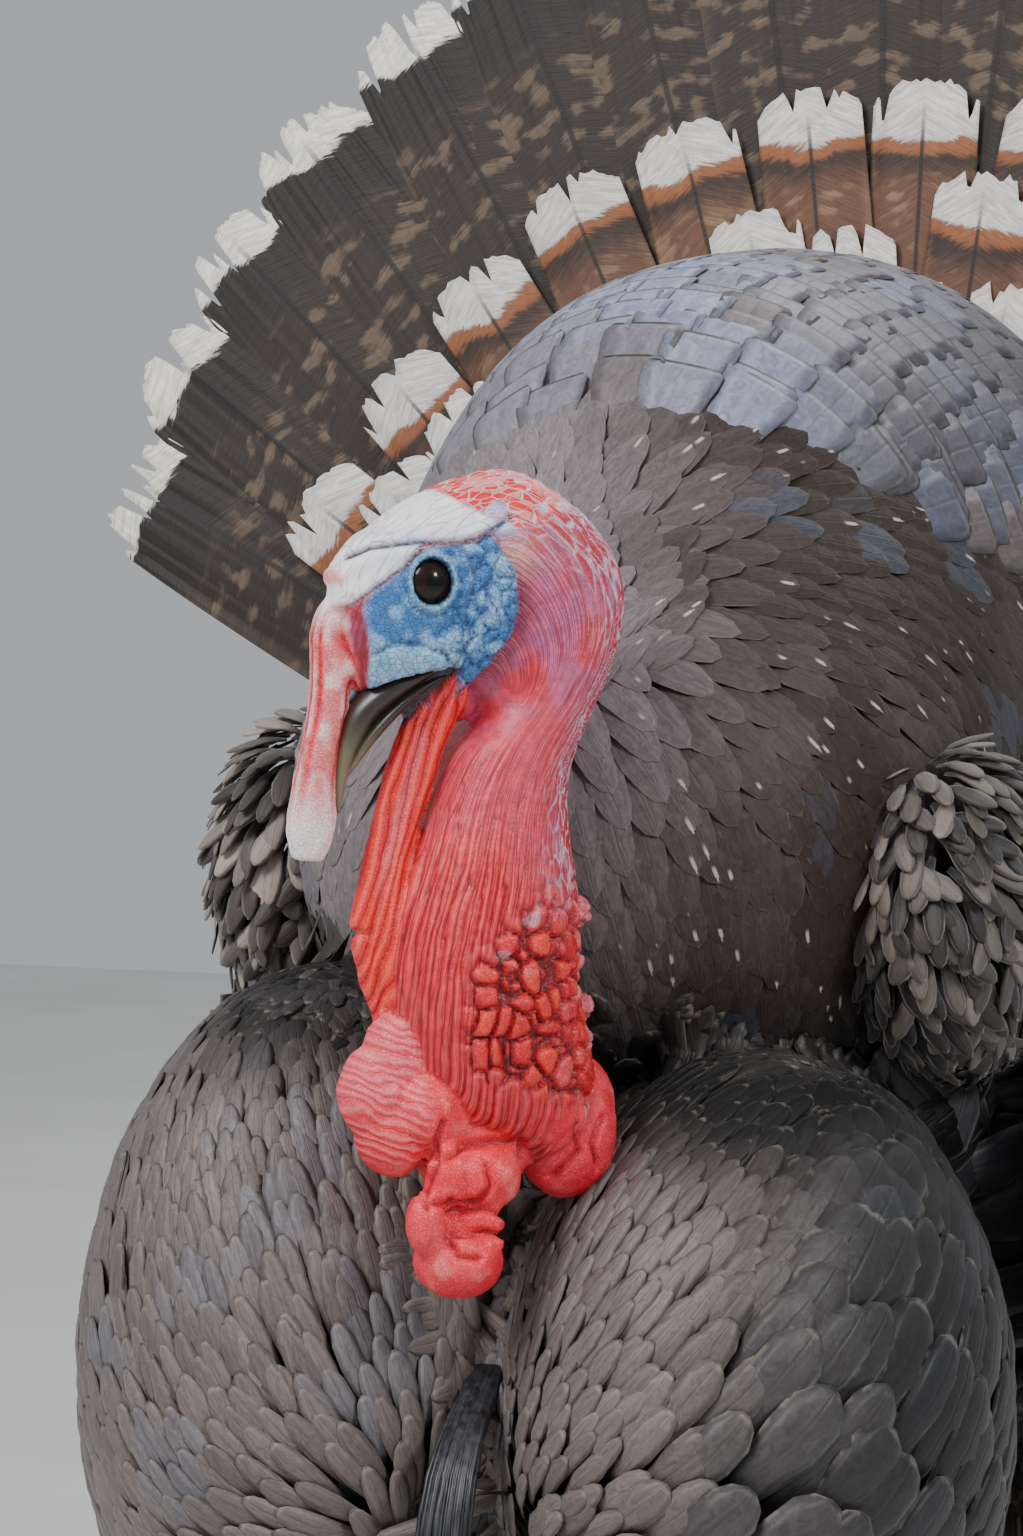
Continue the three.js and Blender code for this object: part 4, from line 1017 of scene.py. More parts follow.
def ramp(add, value, low, high, to_low=0.0, to_high=1.0):
    """Smooth step of a socket between two values."""
    node = add("MapRange", {"Value": value, "From Min": low, "From Max": high, "To Min": to_low,
                            "To Max": to_high}, interpolation_type="SMOOTHSTEP")
    return node.outputs["Result"]


def blend_colour(add, factor, a, b, mode="MIX"):
    """Mix two colours by a factor."""
    node = add("Mix", {0: factor, 6: a, 7: b}, data_type="RGBA", blend_type=mode)
    return node.outputs[2]


def rgba(r, g, b):
    """Screen colour as a linear RGBA tuple."""
    return (*linear(r, g, b), 1.0)


def feather_finish(name, edge, edge_amount, dark_shaft=0.4, sheen=0.25, rough=0.5, barb=70.0, gloss=0.5,
                   silky=False, gap=0.0, fleck=0.0):
    """Vane finish: tint per feather, barbs slanting or running down, rim, dark end, shaft, flecks and a
    painted gap shadow along the tip.
    """
    material, add = finish(name)
    uv = add("UVMap", uv_map="Feather").outputs[0]
    split = add("SeparateXYZ", {0: uv})
    u, v = split.outputs[0], split.outputs[1]
    away = times(add, math(add, "ABSOLUTE", minus(add, u, 0.5)), 2.0)
    tint = add("Attribute", attribute_name="Tint").outputs["Color"]
    slant = minus(add, v, times(add, away, 0.35))
    place = add("TexCoord").outputs["Object"]
    wander = grains(add, place, 90.0, 2.0)
    lengthwise = place_of(add, times(add, u, 9.0), times(add, v, 2.0), times(add, wander, 14.0))
    slanting = place_of(add, times(add, slant, barb), times(add, away, 2.0), times(add, wander, 9.0))
    barbs = grains(add, lengthwise if silky else slanting, 1.0, 3.0, Roughness=0.6)
    rim = math(add, "MAXIMUM", ramp(add, away, 0.80, 1.0), ramp(add, v, 0.92, 1.0))
    tone = ramp(add, barbs, 0.25, 0.75, 0.72, 1.22)
    colour = blend_colour(add, 1.0, tint, grey(add, tone), "MULTIPLY")
    patchy = ramp(add, grains(add, place, 160.0, 2.0), 0.45, 0.6)
    colour = blend_colour(add, times(add, times(add, rim, edge_amount), patchy), colour, edge)
    shaft = ramp(add, away, 0.09, 0.0)
    colour = blend_colour(add, times(add, shaft, dark_shaft), colour, rgba(26, 20, 16))
    spot = times(add, ramp(add, away, 0.2, 0.08),
                 times(add, ramp(add, v, 0.80, 0.86), ramp(add, v, 0.99, 0.94)))
    rare = ramp(add, grains(add, place, 75.0, 1.0), 0.60, 0.64)
    colour = blend_colour(add, times(add, times(add, spot, rare), fleck), colour, rgba(196, 184, 168))
    # painted shadow: a dark line along the tip and, fainter, the side edges, for the shade in the gap between
    # rows; gap sets its weight
    last = math(add, "MAXIMUM", ramp(add, v, 0.968, 0.985), times(add, ramp(add, away, 0.95, 0.99), 0.4))
    colour = blend_colour(add, times(add, last, gap), colour, rgba(20, 17, 18))
    base = ramp(add, v, 0.45, 0.1)
    colour = blend_colour(add, times(add, base, 0.65), colour, rgba(24, 20, 18))
    bump = add("Bump", {"Strength": 0.35, "Distance": 0.0005,
                        "Height": plus(add, barbs, times(add, shaft, 0.8))}).outputs[0]
    return covered(material, add,
                   {"Base Color": colour, "Roughness": rough, "Normal": bump, "Sheen Weight": sheen,
                    "Sheen Roughness": 0.4, "Specular IOR Level": gloss})


def banded_finish(name, tip, white, black, ground, fleck, line=None, bar=9.0, bar_amount=0.75, rough=0.6,
                  shafts=0.85, spots=1.0):
    """Banded vane: pale tip, optional rust line, dark band, then a barred, flecked ground; mm."""
    material, add = finish(name)
    uv = add("UVMap", uv_map="Feather").outputs[0]
    split = add("SeparateXYZ", {0: uv})
    u, far = split.outputs[0], times(add, split.outputs[1], 100.0)
    away = times(add, math(add, "ABSOLUTE", minus(add, u, 0.5)), 2.0)
    place = add("TexCoord").outputs["Object"]
    tint = add("Attribute", attribute_name="Tint").outputs["Color"]
    broad = grains(add, place, 42.0, 2.0)
    small = grains(add, place, 210.0, 3.0)
    stroke = place_of(add, times(add, minus(add, far, times(add, away, 11.0)), 0.9), times(add, away, 1.5),
                      times(add, broad, 8.0))
    barbs = grains(add, stroke, 1.0, 3.0, Roughness=0.65)
    wobble = plus(add, times(add, minus(add, broad, 0.5), 14.0), times(add, minus(add, barbs, 0.5), 9.0))
    edge = plus(add, far, wobble)
    wave = math(add, "SINE", times(add, plus(add, edge, times(add, away, -7.0)), 6.283 / bar))
    drift = grains(add, place, 95.0, 1.0)
    patchy = plus(add, plus(add, times(add, wave, 0.7), times(add, minus(add, drift, 0.5), 7.0 * spots)),
                  times(add, minus(add, small, 0.5), 3.0))
    amount = times(add, ramp(add, patchy, 0.15, 1.5), bar_amount)
    inner = ramp(add, edge, tip + black, tip + black + 16.0)
    colour = blend_colour(add, times(add, amount, inner), ground, fleck)
    colour = blend_colour(add, times(add, ramp(add, away, 0.75, 1.0), 0.3), colour, fleck)
    colour = blend_colour(add, times(add, minus(add, 1.0, inner), 0.85), colour, rgba(30, 25, 23))
    if line:
        near_line = ramp(add, math(add, "ABSOLUTE", minus(add, edge, tip + 2.5)), 4.2, 1.0)
        colour = blend_colour(add, near_line, colour, line)
    tone = ramp(add, barbs, 0.3, 0.7, 0.82, 1.0)
    pale = blend_colour(add, 1.0, white, grey(add, tone), "MULTIPLY")
    colour = blend_colour(add, ramp(add, edge, tip + 0.8, tip - 1.2), colour, pale)
    shaft = times(add, ramp(add, away, 0.055, 0.02), ramp(add, far, 3.0, 24.0))
    colour = blend_colour(add, times(add, shaft, shafts), colour, rgba(20, 16, 14))
    tone = ramp(add, barbs, 0.25, 0.75, 0.78, 1.2)
    colour = blend_colour(add, 1.0, colour, grey(add, tone), "MULTIPLY")
    colour = blend_colour(add, 1.0, colour, tint, "MULTIPLY")
    bump = add("Bump", {"Strength": 0.5, "Distance": 0.0006, "Height": barbs}).outputs[0]
    return covered(material, add,
                   {"Base Color": colour, "Roughness": rough, "Normal": bump, "Sheen Weight": 0.2,
                    "Sheen Roughness": 0.5, "Specular IOR Level": 0.35})


def skin_finish():
    """Bare wattled skin: painted zones, scaled crown, corded nape and neck, pebbled face, wrinkles."""
    material, add = finish("bare_skin")
    tint = add("Attribute", attribute_name="Flesh").outputs["Color"]
    lie = add("Attribute", attribute_name="Lie").outputs["Vector"]
    place = add("TexCoord").outputs["Object"]

    def web(vector, stretch, high):
        """Cells: 0 on their walls and 1 inside."""
        at = add("Mapping", {"Vector": vector, "Scale": stretch}).outputs[0]
        wall = add("TexVoronoi", {"Vector": at, "Scale": 1.0}, feature="DISTANCE_TO_EDGE").outputs["Distance"]
        return ramp(add, wall, 0.0, high)

    def cell_tone(vector, stretch):
        """A number of its own for each cell of the web with the same stretch."""
        at = add("Mapping", {"Vector": vector, "Scale": stretch}).outputs[0]
        cells = add("TexVoronoi", {"Vector": at, "Scale": 1.0}, feature="F1").outputs["Color"]
        return add("SeparateColor", {0: cells}).outputs[0]

    def inverse(value):
        """1 - value."""
        return minus(add, 1.0, value)

    def strands(across, along, pitch, length, wander):
        """Crests of long cords: |sin(pi (across / pitch + wander * noise))|; lengths in cm."""
        at = place_of(add, math(add, "DIVIDE", along, length), math(add, "DIVIDE", across, 3 * pitch), 0.0)
        drift = grains(add, at, 1.0, 2.0)
        phase = plus(add, math(add, "DIVIDE", across, pitch), times(add, drift, wander))
        return math(add, "ABSOLUTE", math(add, "SINE", times(add, phase, np.pi)))

    run, _, lean = add("SeparateXYZ", {0: lie}).outputs[:3]
    ahead, high, _ = add("SeparateXYZ",
                         {0: add("Attribute", attribute_name="Axes").outputs["Vector"]}).outputs[:3]
    fine = grains(add, place, 1400.0, 3.0)
    blot = grains(add, place, 420.0, 4.0)
    crown, nape, face = painted(add, "Zones")
    blaze, side, soft = painted(add, "Marks")
    corded, left_lobe, dewlap = painted(add, "Cords")
    upper = times(add, side, inverse(corded))
    lens_scale, cord_scale = (2.6, 6.6, 0), (1.15, 4.2, 0)
    # crests and cells: 0 in the furrow between two, 1 on the ridge or inside
    lens, lens_tone = web(lie, lens_scale, 0.12), cell_tone(lie, lens_scale)
    cord, cord_tone = web(lie, cord_scale, 0.13), cell_tone(lie, cord_scale)
    wrinkle, line = web(lie, (0.5, 0, 4.2), 0.09), web(lie, (0.8, 4.6, 0), 0.05)
    pebble, grain = web(place, (640, 640, 640), 0.10), web(place, (900, 900, 900), 0.12)
    slanted = plus(add, lean, times(add, run, 0.12))
    hanging = plus(add, times(add, ahead, 0.96), times(add, high, 0.28))
    level = minus(add, high, times(add, ahead, 0.35))
    rope = strands(lean, run, 0.34, 2.4, 2.6)
    vein = strands(slanted, run, 0.85, 3.5, 3.6)
    curtain = strands(hanging, high, 0.27, 2.8, 2.2)
    rib = strands(level, ahead, 0.27, 0.9, 3.0)
    colour = blend_colour(add, ramp(add, blot, 0.35, 0.7), tint, rgba(250, 214, 206), "SOFT_LIGHT")
    layers = (
        (crown, inverse(lens), 0.7, (232, 224, 230)),
        (crown, times(add, ramp(add, lens_tone, 0.62, 0.66), lens), 0.7, (238, 150, 146)),
        (nape, inverse(cord), 0.85, (206, 178, 196)),
        (nape, times(add, ramp(add, cord_tone, 0.5, 0.6), cord), 0.8, (186, 26, 36)),
        (face, inverse(pebble), 0.5, (24, 58, 120)),
        (blaze, inverse(line), 0.35, (110, 116, 136)),
        (side, inverse(wrinkle), 0.75, (150, 22, 36)),
        (soft, inverse(grain), 0.3, (120, 16, 22)),
        # darker red in the cord furrows, partly the skin's colour and partly painted shade
        (corded, ramp(add, rope, 0.42, 0.04), 0.85, (132, 8, 22)),
        # painted highlight on the cord crests
        (corded, ramp(add, rope, 0.7, 1.0), 0.25, (240, 100, 98)),
        (upper, ramp(add, vein, 0.14, 0.0), 0.75, (142, 20, 40)),
        # darker red in the dewlap furrows, partly the skin's colour and partly painted shade
        (dewlap, ramp(add, curtain, 0.45, 0.05), 0.8, (158, 4, 14)),
        # painted highlight: pale red on the dewlap crests
        (dewlap, ramp(add, curtain, 0.75, 1.0), 0.5, (248, 110, 96)),
        # red in the rib furrows, partly the skin's colour and partly painted shade
        (left_lobe, ramp(add, rib, 0.30, 0.03), 0.5, (176, 14, 34)),
        # pale pink on the rib crests, partly the lobe's colour and partly painted highlight
        (left_lobe, ramp(add, rib, 0.7, 1.0), 0.4, (248, 150, 152)))
    for zone, mask, share, shade in layers:
        colour = blend_colour(add, times(add, zone, mask, share), colour, rgba(*shade))
    relief = fine
    for value, zone, depth in ((lens, crown, 2.4), (cord, nape, 1.8), (pebble, face, 0.9), (line, blaze, 1.1),
                               (wrinkle, side, 0.9), (grain, soft, 0.6), (rope, corded, 3.4),
                               (vein, upper, 1.0),
                               (curtain, dewlap, 2.4), (rib, left_lobe, 1.6)):
        relief = plus(add, relief, times(add, value, zone, depth))
    bump = add("Bump", {"Strength": 0.6, "Distance": 0.0004, "Height": relief}).outputs[0]
    return covered(material, add,
                   {"Base Color": colour, "Roughness": 0.44, "Normal": bump, "Subsurface Weight": 0.12,
                    "Subsurface Radius": (0.0030, 0.0010, 0.0008), "Subsurface Scale": 1.0,
                    "Coat Weight": 0.12, "Coat Roughness": 0.3})


def plain_finish(name, dark, light, scale, rough, stretch=(1, 1, 1), bump=0.3, coat=0.0, speckle=2.0,
                 depth=0.0004):
    """Two tones by stretched noise with a matching bump."""
    material, add = finish(name)
    place = add("Mapping", {"Vector": add("TexCoord").outputs["Object"], "Scale": stretch}).outputs[0]
    grain = grains(add, place, scale, 4.0, Distortion=speckle * 0.1)
    colour = blend_colour(add, ramp(add, grain, 0.3, 0.7), dark, light)
    bumped = add("Bump", {"Strength": bump, "Distance": depth, "Height": grain}).outputs[0]
    return covered(material, add,
                   {"Base Color": colour, "Roughness": rough, "Normal": bumped, "Coat Weight": coat,
                    "Coat Roughness": 0.2})


# ------------------------------------------------------------------ skin
head_points, head_normals, head_quads = fuse("skin_blank", head_shells(), 0.83)
head_points, head_tints = flesh(head_points, head_normals, head_quads)
polar = np.linspace(0.02, np.pi - 0.02, 90)[:, None]
angle = np.linspace(0, 2 * np.pi, 120, endpoint=False)[None]
ways = np.stack([np.sin(polar) * np.cos(angle), np.sin(polar) * np.sin(angle), np.cos(polar) + 0 * angle], -1)
trunk_rings = TRUNK_MIDDLE + ways * radial(trunk_form, TRUNK_MIDDLE, ways, -COAT)[..., None]
trunk_points, trunk_faces = shell(trunk_rings[::-1])
thigh_shells = []
for flip in (1, -1):
    centre = THIGH_AT * (flip, 1, 1)
    rings = centre + ways[::3, ::4] * radial(thigh_form, centre, ways[::3, ::4], -4.0, 120)[..., None]
    thigh_shells.append(shell(rings[::-1]))
body_points, body_faces = join_shells([(trunk_points, trunk_faces), *thigh_shells])
# painted shade: the bare trunk and thighs under the plumage are near black, so the gaps between feathers read
# as shade
body_shade_colours = np.tile(linear(12, 10, 9), (len(body_points), 1))
skin_points = np.concatenate([head_points, body_points])
skin_faces = [head_quads, *[f + len(head_points) for f in body_faces]]
skin_tints = {name: np.concatenate([tints, 0 * body_shade_colours]) for name, tints in head_tints.items()}
skin_tints["Flesh"][len(head_points):] = body_shade_colours
skin_mesh = mesh_from("skin", skin_points, skin_faces, None, skin_tints)
bare_skin = skin_finish()
piece("skin", skin_mesh, bare_skin,
      ("head", "neck_upper", "neck_lower", "snood", "dewlap", "caruncle_right", "caruncle_left",
       "caruncle_middle", "caruncle_low", "mantle", "back", "breast_left", "breast_right", "belly", "rump",
       "thigh_left", "thigh_right"))

# ------------------------------------------------------------------ body plumage
RUFF_POLE = np.array([-9.0, -153.0, 491.0])
MANTLE_POLE = np.array([2.0, -160.0, 440.0])
FLANK_AXIS = np.array([5.0, -215.0, 388.0]) - TRUNK_MIDDLE
LOBE_POLES = {"left": ((4, -206, 238), (84, -118, 366)), "right": ((-16, -208, 250), (-58, -176, 392))}


def crease_height(p):
    """Height of the crease between ruff and breast, higher on the right in front, rising to the rear."""
    front = smooth(-40, -100, p[..., 1])
    return 379 + 0.12 * (p[..., 1] + 160) + 22 * smooth(6, -6, p[..., 0]) * front


def scaled(p):
    """0 on the smooth ruff, 1 on the scaled mantle and back."""
    return smooth(505, 545, p[..., 2] + 0.16 * (p[..., 1] + 60) + 0.10 * np.abs(p[..., 0]))


def ruff_size(p):
    """Feather length and width over the smooth ruff."""
    above = smooth(4, 44, p[..., 2] - crease_height(p))
    return mix(20.0, 36.0, above), mix(9.0, 11.0, above)


def mantle_size(p):
    """Feather length and width over mantle and back."""
    back = smooth(20, 150, p[..., 1])
    return mix(44.0, 58.0, back), mix(23.0, 34.0, back)


def crease_shade(p, lift):
    """Darkens plumage whose tips, lift above their roots, lie in the crease, pressed out of the light."""
    return mix(0.04, 1.0, smooth(4, 32, np.abs(p[:, 2] + lift - crease_height(p) + 6)))[:, None]


def ruff_tint(p):
    """Grey by the neck, umber over the ruff, with painted shade making it near black brown low over the
    crease and to the +X side, a few bluish patches.
    """
    # side: from grey toward dark umber on the +X side, away from the key light; partly the plumage's colour,
    # partly painted shade
    side = smooth(-18, 30, p[:, 0] + 0.4 * (p[:, 1] + 130))[:, None]
    under = smooth(430, 372, p[:, 2])[:, None]
    streak = noise(p * np.array([0.05, 0.05, 0.02]), 91)[:, None]
    colour = mix(linear(122, 113, 116), linear(48, 38, 31), np.clip(side + 0.5 * (streak - 0.5), 0, 1))
    # painted shade: near black low on the ruff, over the crease
    colour = mix(colour, linear(26, 20, 15), under * 0.9)
    colour = mix(colour, linear(84, 96, 116), smooth(0.74, 0.8, noise(p * 0.06, 93))[:, None] * 0.3)
    # painted shade in the crease and toward the far +X side
    return colour * crease_shade(p, -16) * mix(1, 0.45, smooth(60, 120, p[:, 0]))[:, None]


def mantle_tint(p):
    """Lilac grey varying to bluish and to brown in patches, with painted shade toward the +X side, bronze
    brown at the rear.
    """
    back = smooth(60, 190, p[:, 1])[:, None]
    tone = noise(p * 0.030, 95)[:, None]
    colour = mix(linear(124, 120, 130), linear(138, 144, 170), smooth(0.3, 0.6, tone))
    # painted shade: darker toward the +X side, away from the key light
    colour = colour * mix(1, 0.35, smooth(12, 66, p[:, 0]))[:, None]
    colour = mix(colour, linear(92, 78, 70), smooth(0.6, 0.75, noise(p * 0.045, 97))[:, None] * 0.7)
    return mix(colour, linear(98, 80, 68), back * 0.8)


def tiled(p):
    """0 where breast feathers lie as fine ribbons, 1 where they stand apart as broad rounded tiles."""
    left = smooth(46, 84, p[..., 0] + 0.4 * (300 - p[..., 2]))
    right = 0.42 * smooth(-66, -108, p[..., 0] - 0.15 * (300 - p[..., 2]))
    return np.where(p[..., 0] > 0, left, right)


def lobe_size(p):
    """Ribbons by the cleft, tiles at the outer side."""
    s = tiled(p)
    return mix(30.0, 47.0, s), mix(7.0, 19.5, s)


def flank_size(p):
    """Large feathers of flanks, belly and vent."""
    far = smooth(30, 190, np.linalg.norm(p - np.array([5.0, -235.0, 372.0]), axis=-1))
    return mix(24.0, 46.0, far), mix(14.0, 27.0, far)


def breast_tint(p):
    """Grey umber with bluish patches, darker on the tiles, dark brown under the belly, with painted shade in
    the crease and toward the +X side.
    """
    under = smooth(230, 180, p[:, 2])[:, None] * smooth(-120, -40, p[:, 1])[:, None]
    colour = mix(linear(112, 102, 98), linear(78, 74, 76), tiled(p)[:, None])
    colour = mix(colour, linear(112, 116, 128), smooth(0.62, 0.75, noise(p * 0.05, 99))[:, None] * 0.4)
    # painted shade: darker in the crease and toward the +X side, away from the key light
    return (mix(colour, linear(58, 46, 38), under) * crease_shade(p, 14)
            * mix(0.9, 0.15, smooth(45, 112, p[:, 0]))[:, None])


ruff_feather = feather_finish("ruff_vane", rgba(150, 140, 130), 0.12, 0.05, rough=0.55, sheen=0.06, gloss=0.2,
                              silky=True, fleck=0.75)
mantle_feather = feather_finish("mantle_vane", rgba(170, 164, 170), 0.25, 0.04, rough=0.45, sheen=0.08,
                                gloss=0.35, silky=True, gap=0.9)
breast_feather = feather_finish("breast_vane", rgba(168, 156, 140), 0.4, 0.15, rough=0.5, sheen=0.06,
                                gloss=0.3, silky=True, gap=0.5)
flank_feather = feather_finish("flank_vane", rgba(176, 164, 150), 0.4, 0.35, barb=50.0, rough=0.5)


def in_front_of_fan(p):
    """True where the trunk is not hidden behind the foot of the fan."""
    return p[:, 1] <= 196 + 0.16 * (p[:, 2] - 372)


def pick(tract, keep):
    """The part of a tract where keep is true."""
    return tract[0][keep], tract[1][keep]


roots, alongs = rows(trunk_form, TRUNK_MIDDLE, RUFF_POLE - TRUNK_MIDDLE, lambda p: ruff_size(p)[0] * 0.26,
                     lambda p: ruff_size(p)[1] * 0.52, -COAT, comb=(0.5, 0.3, -0.8))
drape = mix(0.25, 1.6, smooth(480, 420, roots[:, 2] - 0.35 * np.abs(roots[:, 0])))[:, None]
alongs = unit(alongs + drape * np.array([0, 0, -1.0]))
keep = (roots[:, 2] > crease_height(roots) + 5) & (scaled(roots) < 0.8) & in_front_of_fan(roots)
coat("ruff_feathers", trunk_form, (roots[keep], alongs[keep]), ruff_size, ruff_tint, ruff_feather,
     "plumage_dark", camber=0.05, rise=0.3, thick=0.25, flush=3.2, vary=0.03, sway=0.05, uneven=0.06,
     flat=True, widest=0.5, end=0.02)
near_pole = keep & (np.linalg.norm(roots - RUFF_POLE, axis=1) < 34)
coat("nape_feathers", trunk_form, (roots[near_pole], unit(np.tile([0.25, 1.0, 0.0], (near_pole.sum(), 1)))),
     lambda p: (0.75 * ruff_size(p)[0], 0.8 * ruff_size(p)[1]), ruff_tint, ruff_feather, "plumage_dark",
     camber=0.05, rise=0.9, thick=0.25, flush=3.2, vary=0.03, sway=0.12, uneven=0.2, flat=True, widest=0.5,
     end=0.02)
mantle_tract = rows(trunk_form, TRUNK_MIDDLE, MANTLE_POLE - TRUNK_MIDDLE, lambda p: mantle_size(p)[0] * 0.21,
                    lambda p: mantle_size(p)[1] * 0.62, -COAT)
keep = (scaled(mantle_tract[0]) > 0.35) & in_front_of_fan(mantle_tract[0]) & (mantle_tract[0][:, 2] > 400)
coat("mantle_feathers", trunk_form, pick(mantle_tract, keep), mantle_size, mantle_tint, mantle_feather,
     "plumage_back", section=SIX, widest=0.93, end=0.84, camber=0.03, rise=0.7, flush=2.8, vary=0.06,
     sway=0.035, uneven=0.15, thick=0.4)

for label, (bottom, top) in LOBE_POLES.items():
    bottom, top = np.array(bottom, float), np.array(top, float)
    middle = (bottom + top) / 2
    tract = rows(trunk_form, middle, bottom - middle, lambda p: mix(8.4, 25.0, tiled(p)),
                 lambda p: lobe_size(p)[1] * 0.6, -COAT, stop=3.1, meridians=320, steps=320,
                 comb=top - bottom, reach_mm=18.0)
    own_side = tract[0][:, 0] > 0 if label == "left" else tract[0][:, 0] <= 0
    keep = own_side & (tract[0][:, 1] < -62) & (tract[0][:, 2] < crease_height(tract[0]) - 4)
    upper = tract[0][:, 2] > middle[2] + 12
    for part, share in (("upper", keep & upper), ("lower", keep & ~upper)):
        coat(f"breast_feathers_{label}_{part}", trunk_form, pick(tract, share), lobe_size, breast_tint,
             breast_feather, "plumage_dark", section=SIX, camber=0.13, rise=lambda p: mix(0.5, 2.8, tiled(p)),
             flush=2.6, widest=0.7, end=0.2, sway=0.06)
flank_tract = rows(trunk_form, TRUNK_MIDDLE, FLANK_AXIS, lambda p: flank_size(p)[0] * 0.3,
                   lambda p: flank_size(p)[1] * 0.62, -COAT)
keep = (flank_tract[0][:, 2] < crease_height(flank_tract[0]) - 6) & (flank_tract[0][:, 1] >= -70)
coat("flank_feathers", trunk_form, pick(flank_tract, keep), flank_size, breast_tint, flank_feather,
     "plumage_dark")


# ------------------------------------------------------------------ tail
def widening(narrow, wide, over, taper=0.0, power=1):
    """Half width along a vane: narrow to wide over the given share of it, less taper v^power."""
    return lambda v: mix(narrow, wide, smooth(0, over, v)) * (1 - taper * v**power)


CREAM = rgba(236, 231, 220)
fan_width = (TAIL_TO - TAIL_FROM) / TAIL_COUNT
fan_angles = TAIL_FROM + fan_width * (np.arange(TAIL_COUNT) + 0.5)
fan_edge = np.abs((np.arange(TAIL_COUNT) + 0.5) / TAIL_COUNT - 0.5) * 2
fan_lengths = mix(TAIL_LENGTH, TAIL_EDGE_LENGTH, fan_edge**2.2)
fan_finish = banded_finish("tail_vane", 17.0, CREAM, 19.0, rgba(40, 30, 24), rgba(104, 86, 68), bar=9.5)
fan_start = 40.0
fan_back = 0.7 * np.abs(np.arange(TAIL_COUNT) - 8.5) - 2.4
fan_reach = fan_lengths - fan_start
fan_spines = fan_row(fan_angles + RNG.normal(0, 0.006, TAIL_COUNT), fan_start, fan_reach, fan_back)
tail_nodes = [f"tail_feather_{k + 1:02d}" for k in range(TAIL_COUNT)]
broad_vanes("tail_feathers", fan_spines, fan_reach, widening(5.0, 29.0, 0.5, 0.1, 6), fan_finish,
            tail_nodes, across=61, along=34, camber=1.6, corner=(13.0, 4.0), fray=2.0, splits=5)

covert_finish = banded_finish("covert_vane", 19.0, rgba(214, 210, 204), 5.0, rgba(96, 64, 46),
                              rgba(150, 118, 90), line=rgba(140, 84, 50), bar=6.0, bar_amount=0.5)
soft_covert = banded_finish("soft_covert_vane", 8.0, rgba(196, 186, 172), 8.0, rgba(92, 72, 60),
                            rgba(150, 128, 108), bar=6.0)
# rows of coverts: reach from where the shafts meet, number, width, set back from the fan, share of its spread
UPPER_COVERTS = ((302.0, 13, 19.5, -6.0, 0.90), (262.0, 12, 18.5, -9.5, 0.86), (226.0, 11, 17.5, -12.5, 0.82),
                 (190.0, 10, 17.0, -15.5, 0.78), (156.0, 9, 16.0, -18.0, 0.74))
UNDER_COVERTS = ((230.0, 14, 24.0, 7.0, 0.90), (190.0, 13, 22.0, 10.0, 0.90), (150.0, 12, 20.0, 12.5, 0.90))
for row, (reach_out, number, wide, set_back, spread) in enumerate(UPPER_COVERTS):
    angles = (mix(TAIL_FROM, TAIL_TO, (np.arange(number) + 0.5) / number) * spread
              + RNG.normal(0, 0.02, number))
    reaches = reach_out * (1 - 0.15 * np.abs(angles / TAIL_TO) ** 2) * RNG.normal(1, 0.02, number) - fan_start
    backs = set_back + 0.5 * np.abs(np.arange(number) - number / 2) / 2 + RNG.normal(0, 0.5, number)
    broad_vanes(f"upper_coverts_{row + 1}", fan_row(angles, fan_start, reaches, backs), reaches,
                widening(5.0, wide, 0.6), covert_finish if row < 3 else soft_covert,
                ["tail_coverts_upper"] if row == 0 else (), across=27, along=20, camber=2.4,
                corner=(6.0, 2.0), fray=1.4, splits=3, swing=1.5)
for row, (reach_out, number, wide, set_back, spread) in enumerate(UNDER_COVERTS):
    angles = (mix(TAIL_FROM, TAIL_TO, (np.arange(number) + 0.5) / number) * spread
              + RNG.normal(0, 0.02, number))
    reaches = np.full(number, reach_out - fan_start) * RNG.normal(1, 0.03, number)
    backs = set_back + RNG.normal(0, 0.5, number)
    broad_vanes(f"under_coverts_{row + 1}", fan_row(angles, fan_start, reaches, backs), reaches,
                widening(6.0, wide, 0.6), soft_covert,
                ["tail_coverts_under"] if row == 0 else (), across=21, along=16, camber=-2.0,
                corner=(10.0, 5.0), fray=1.8, splits=3)

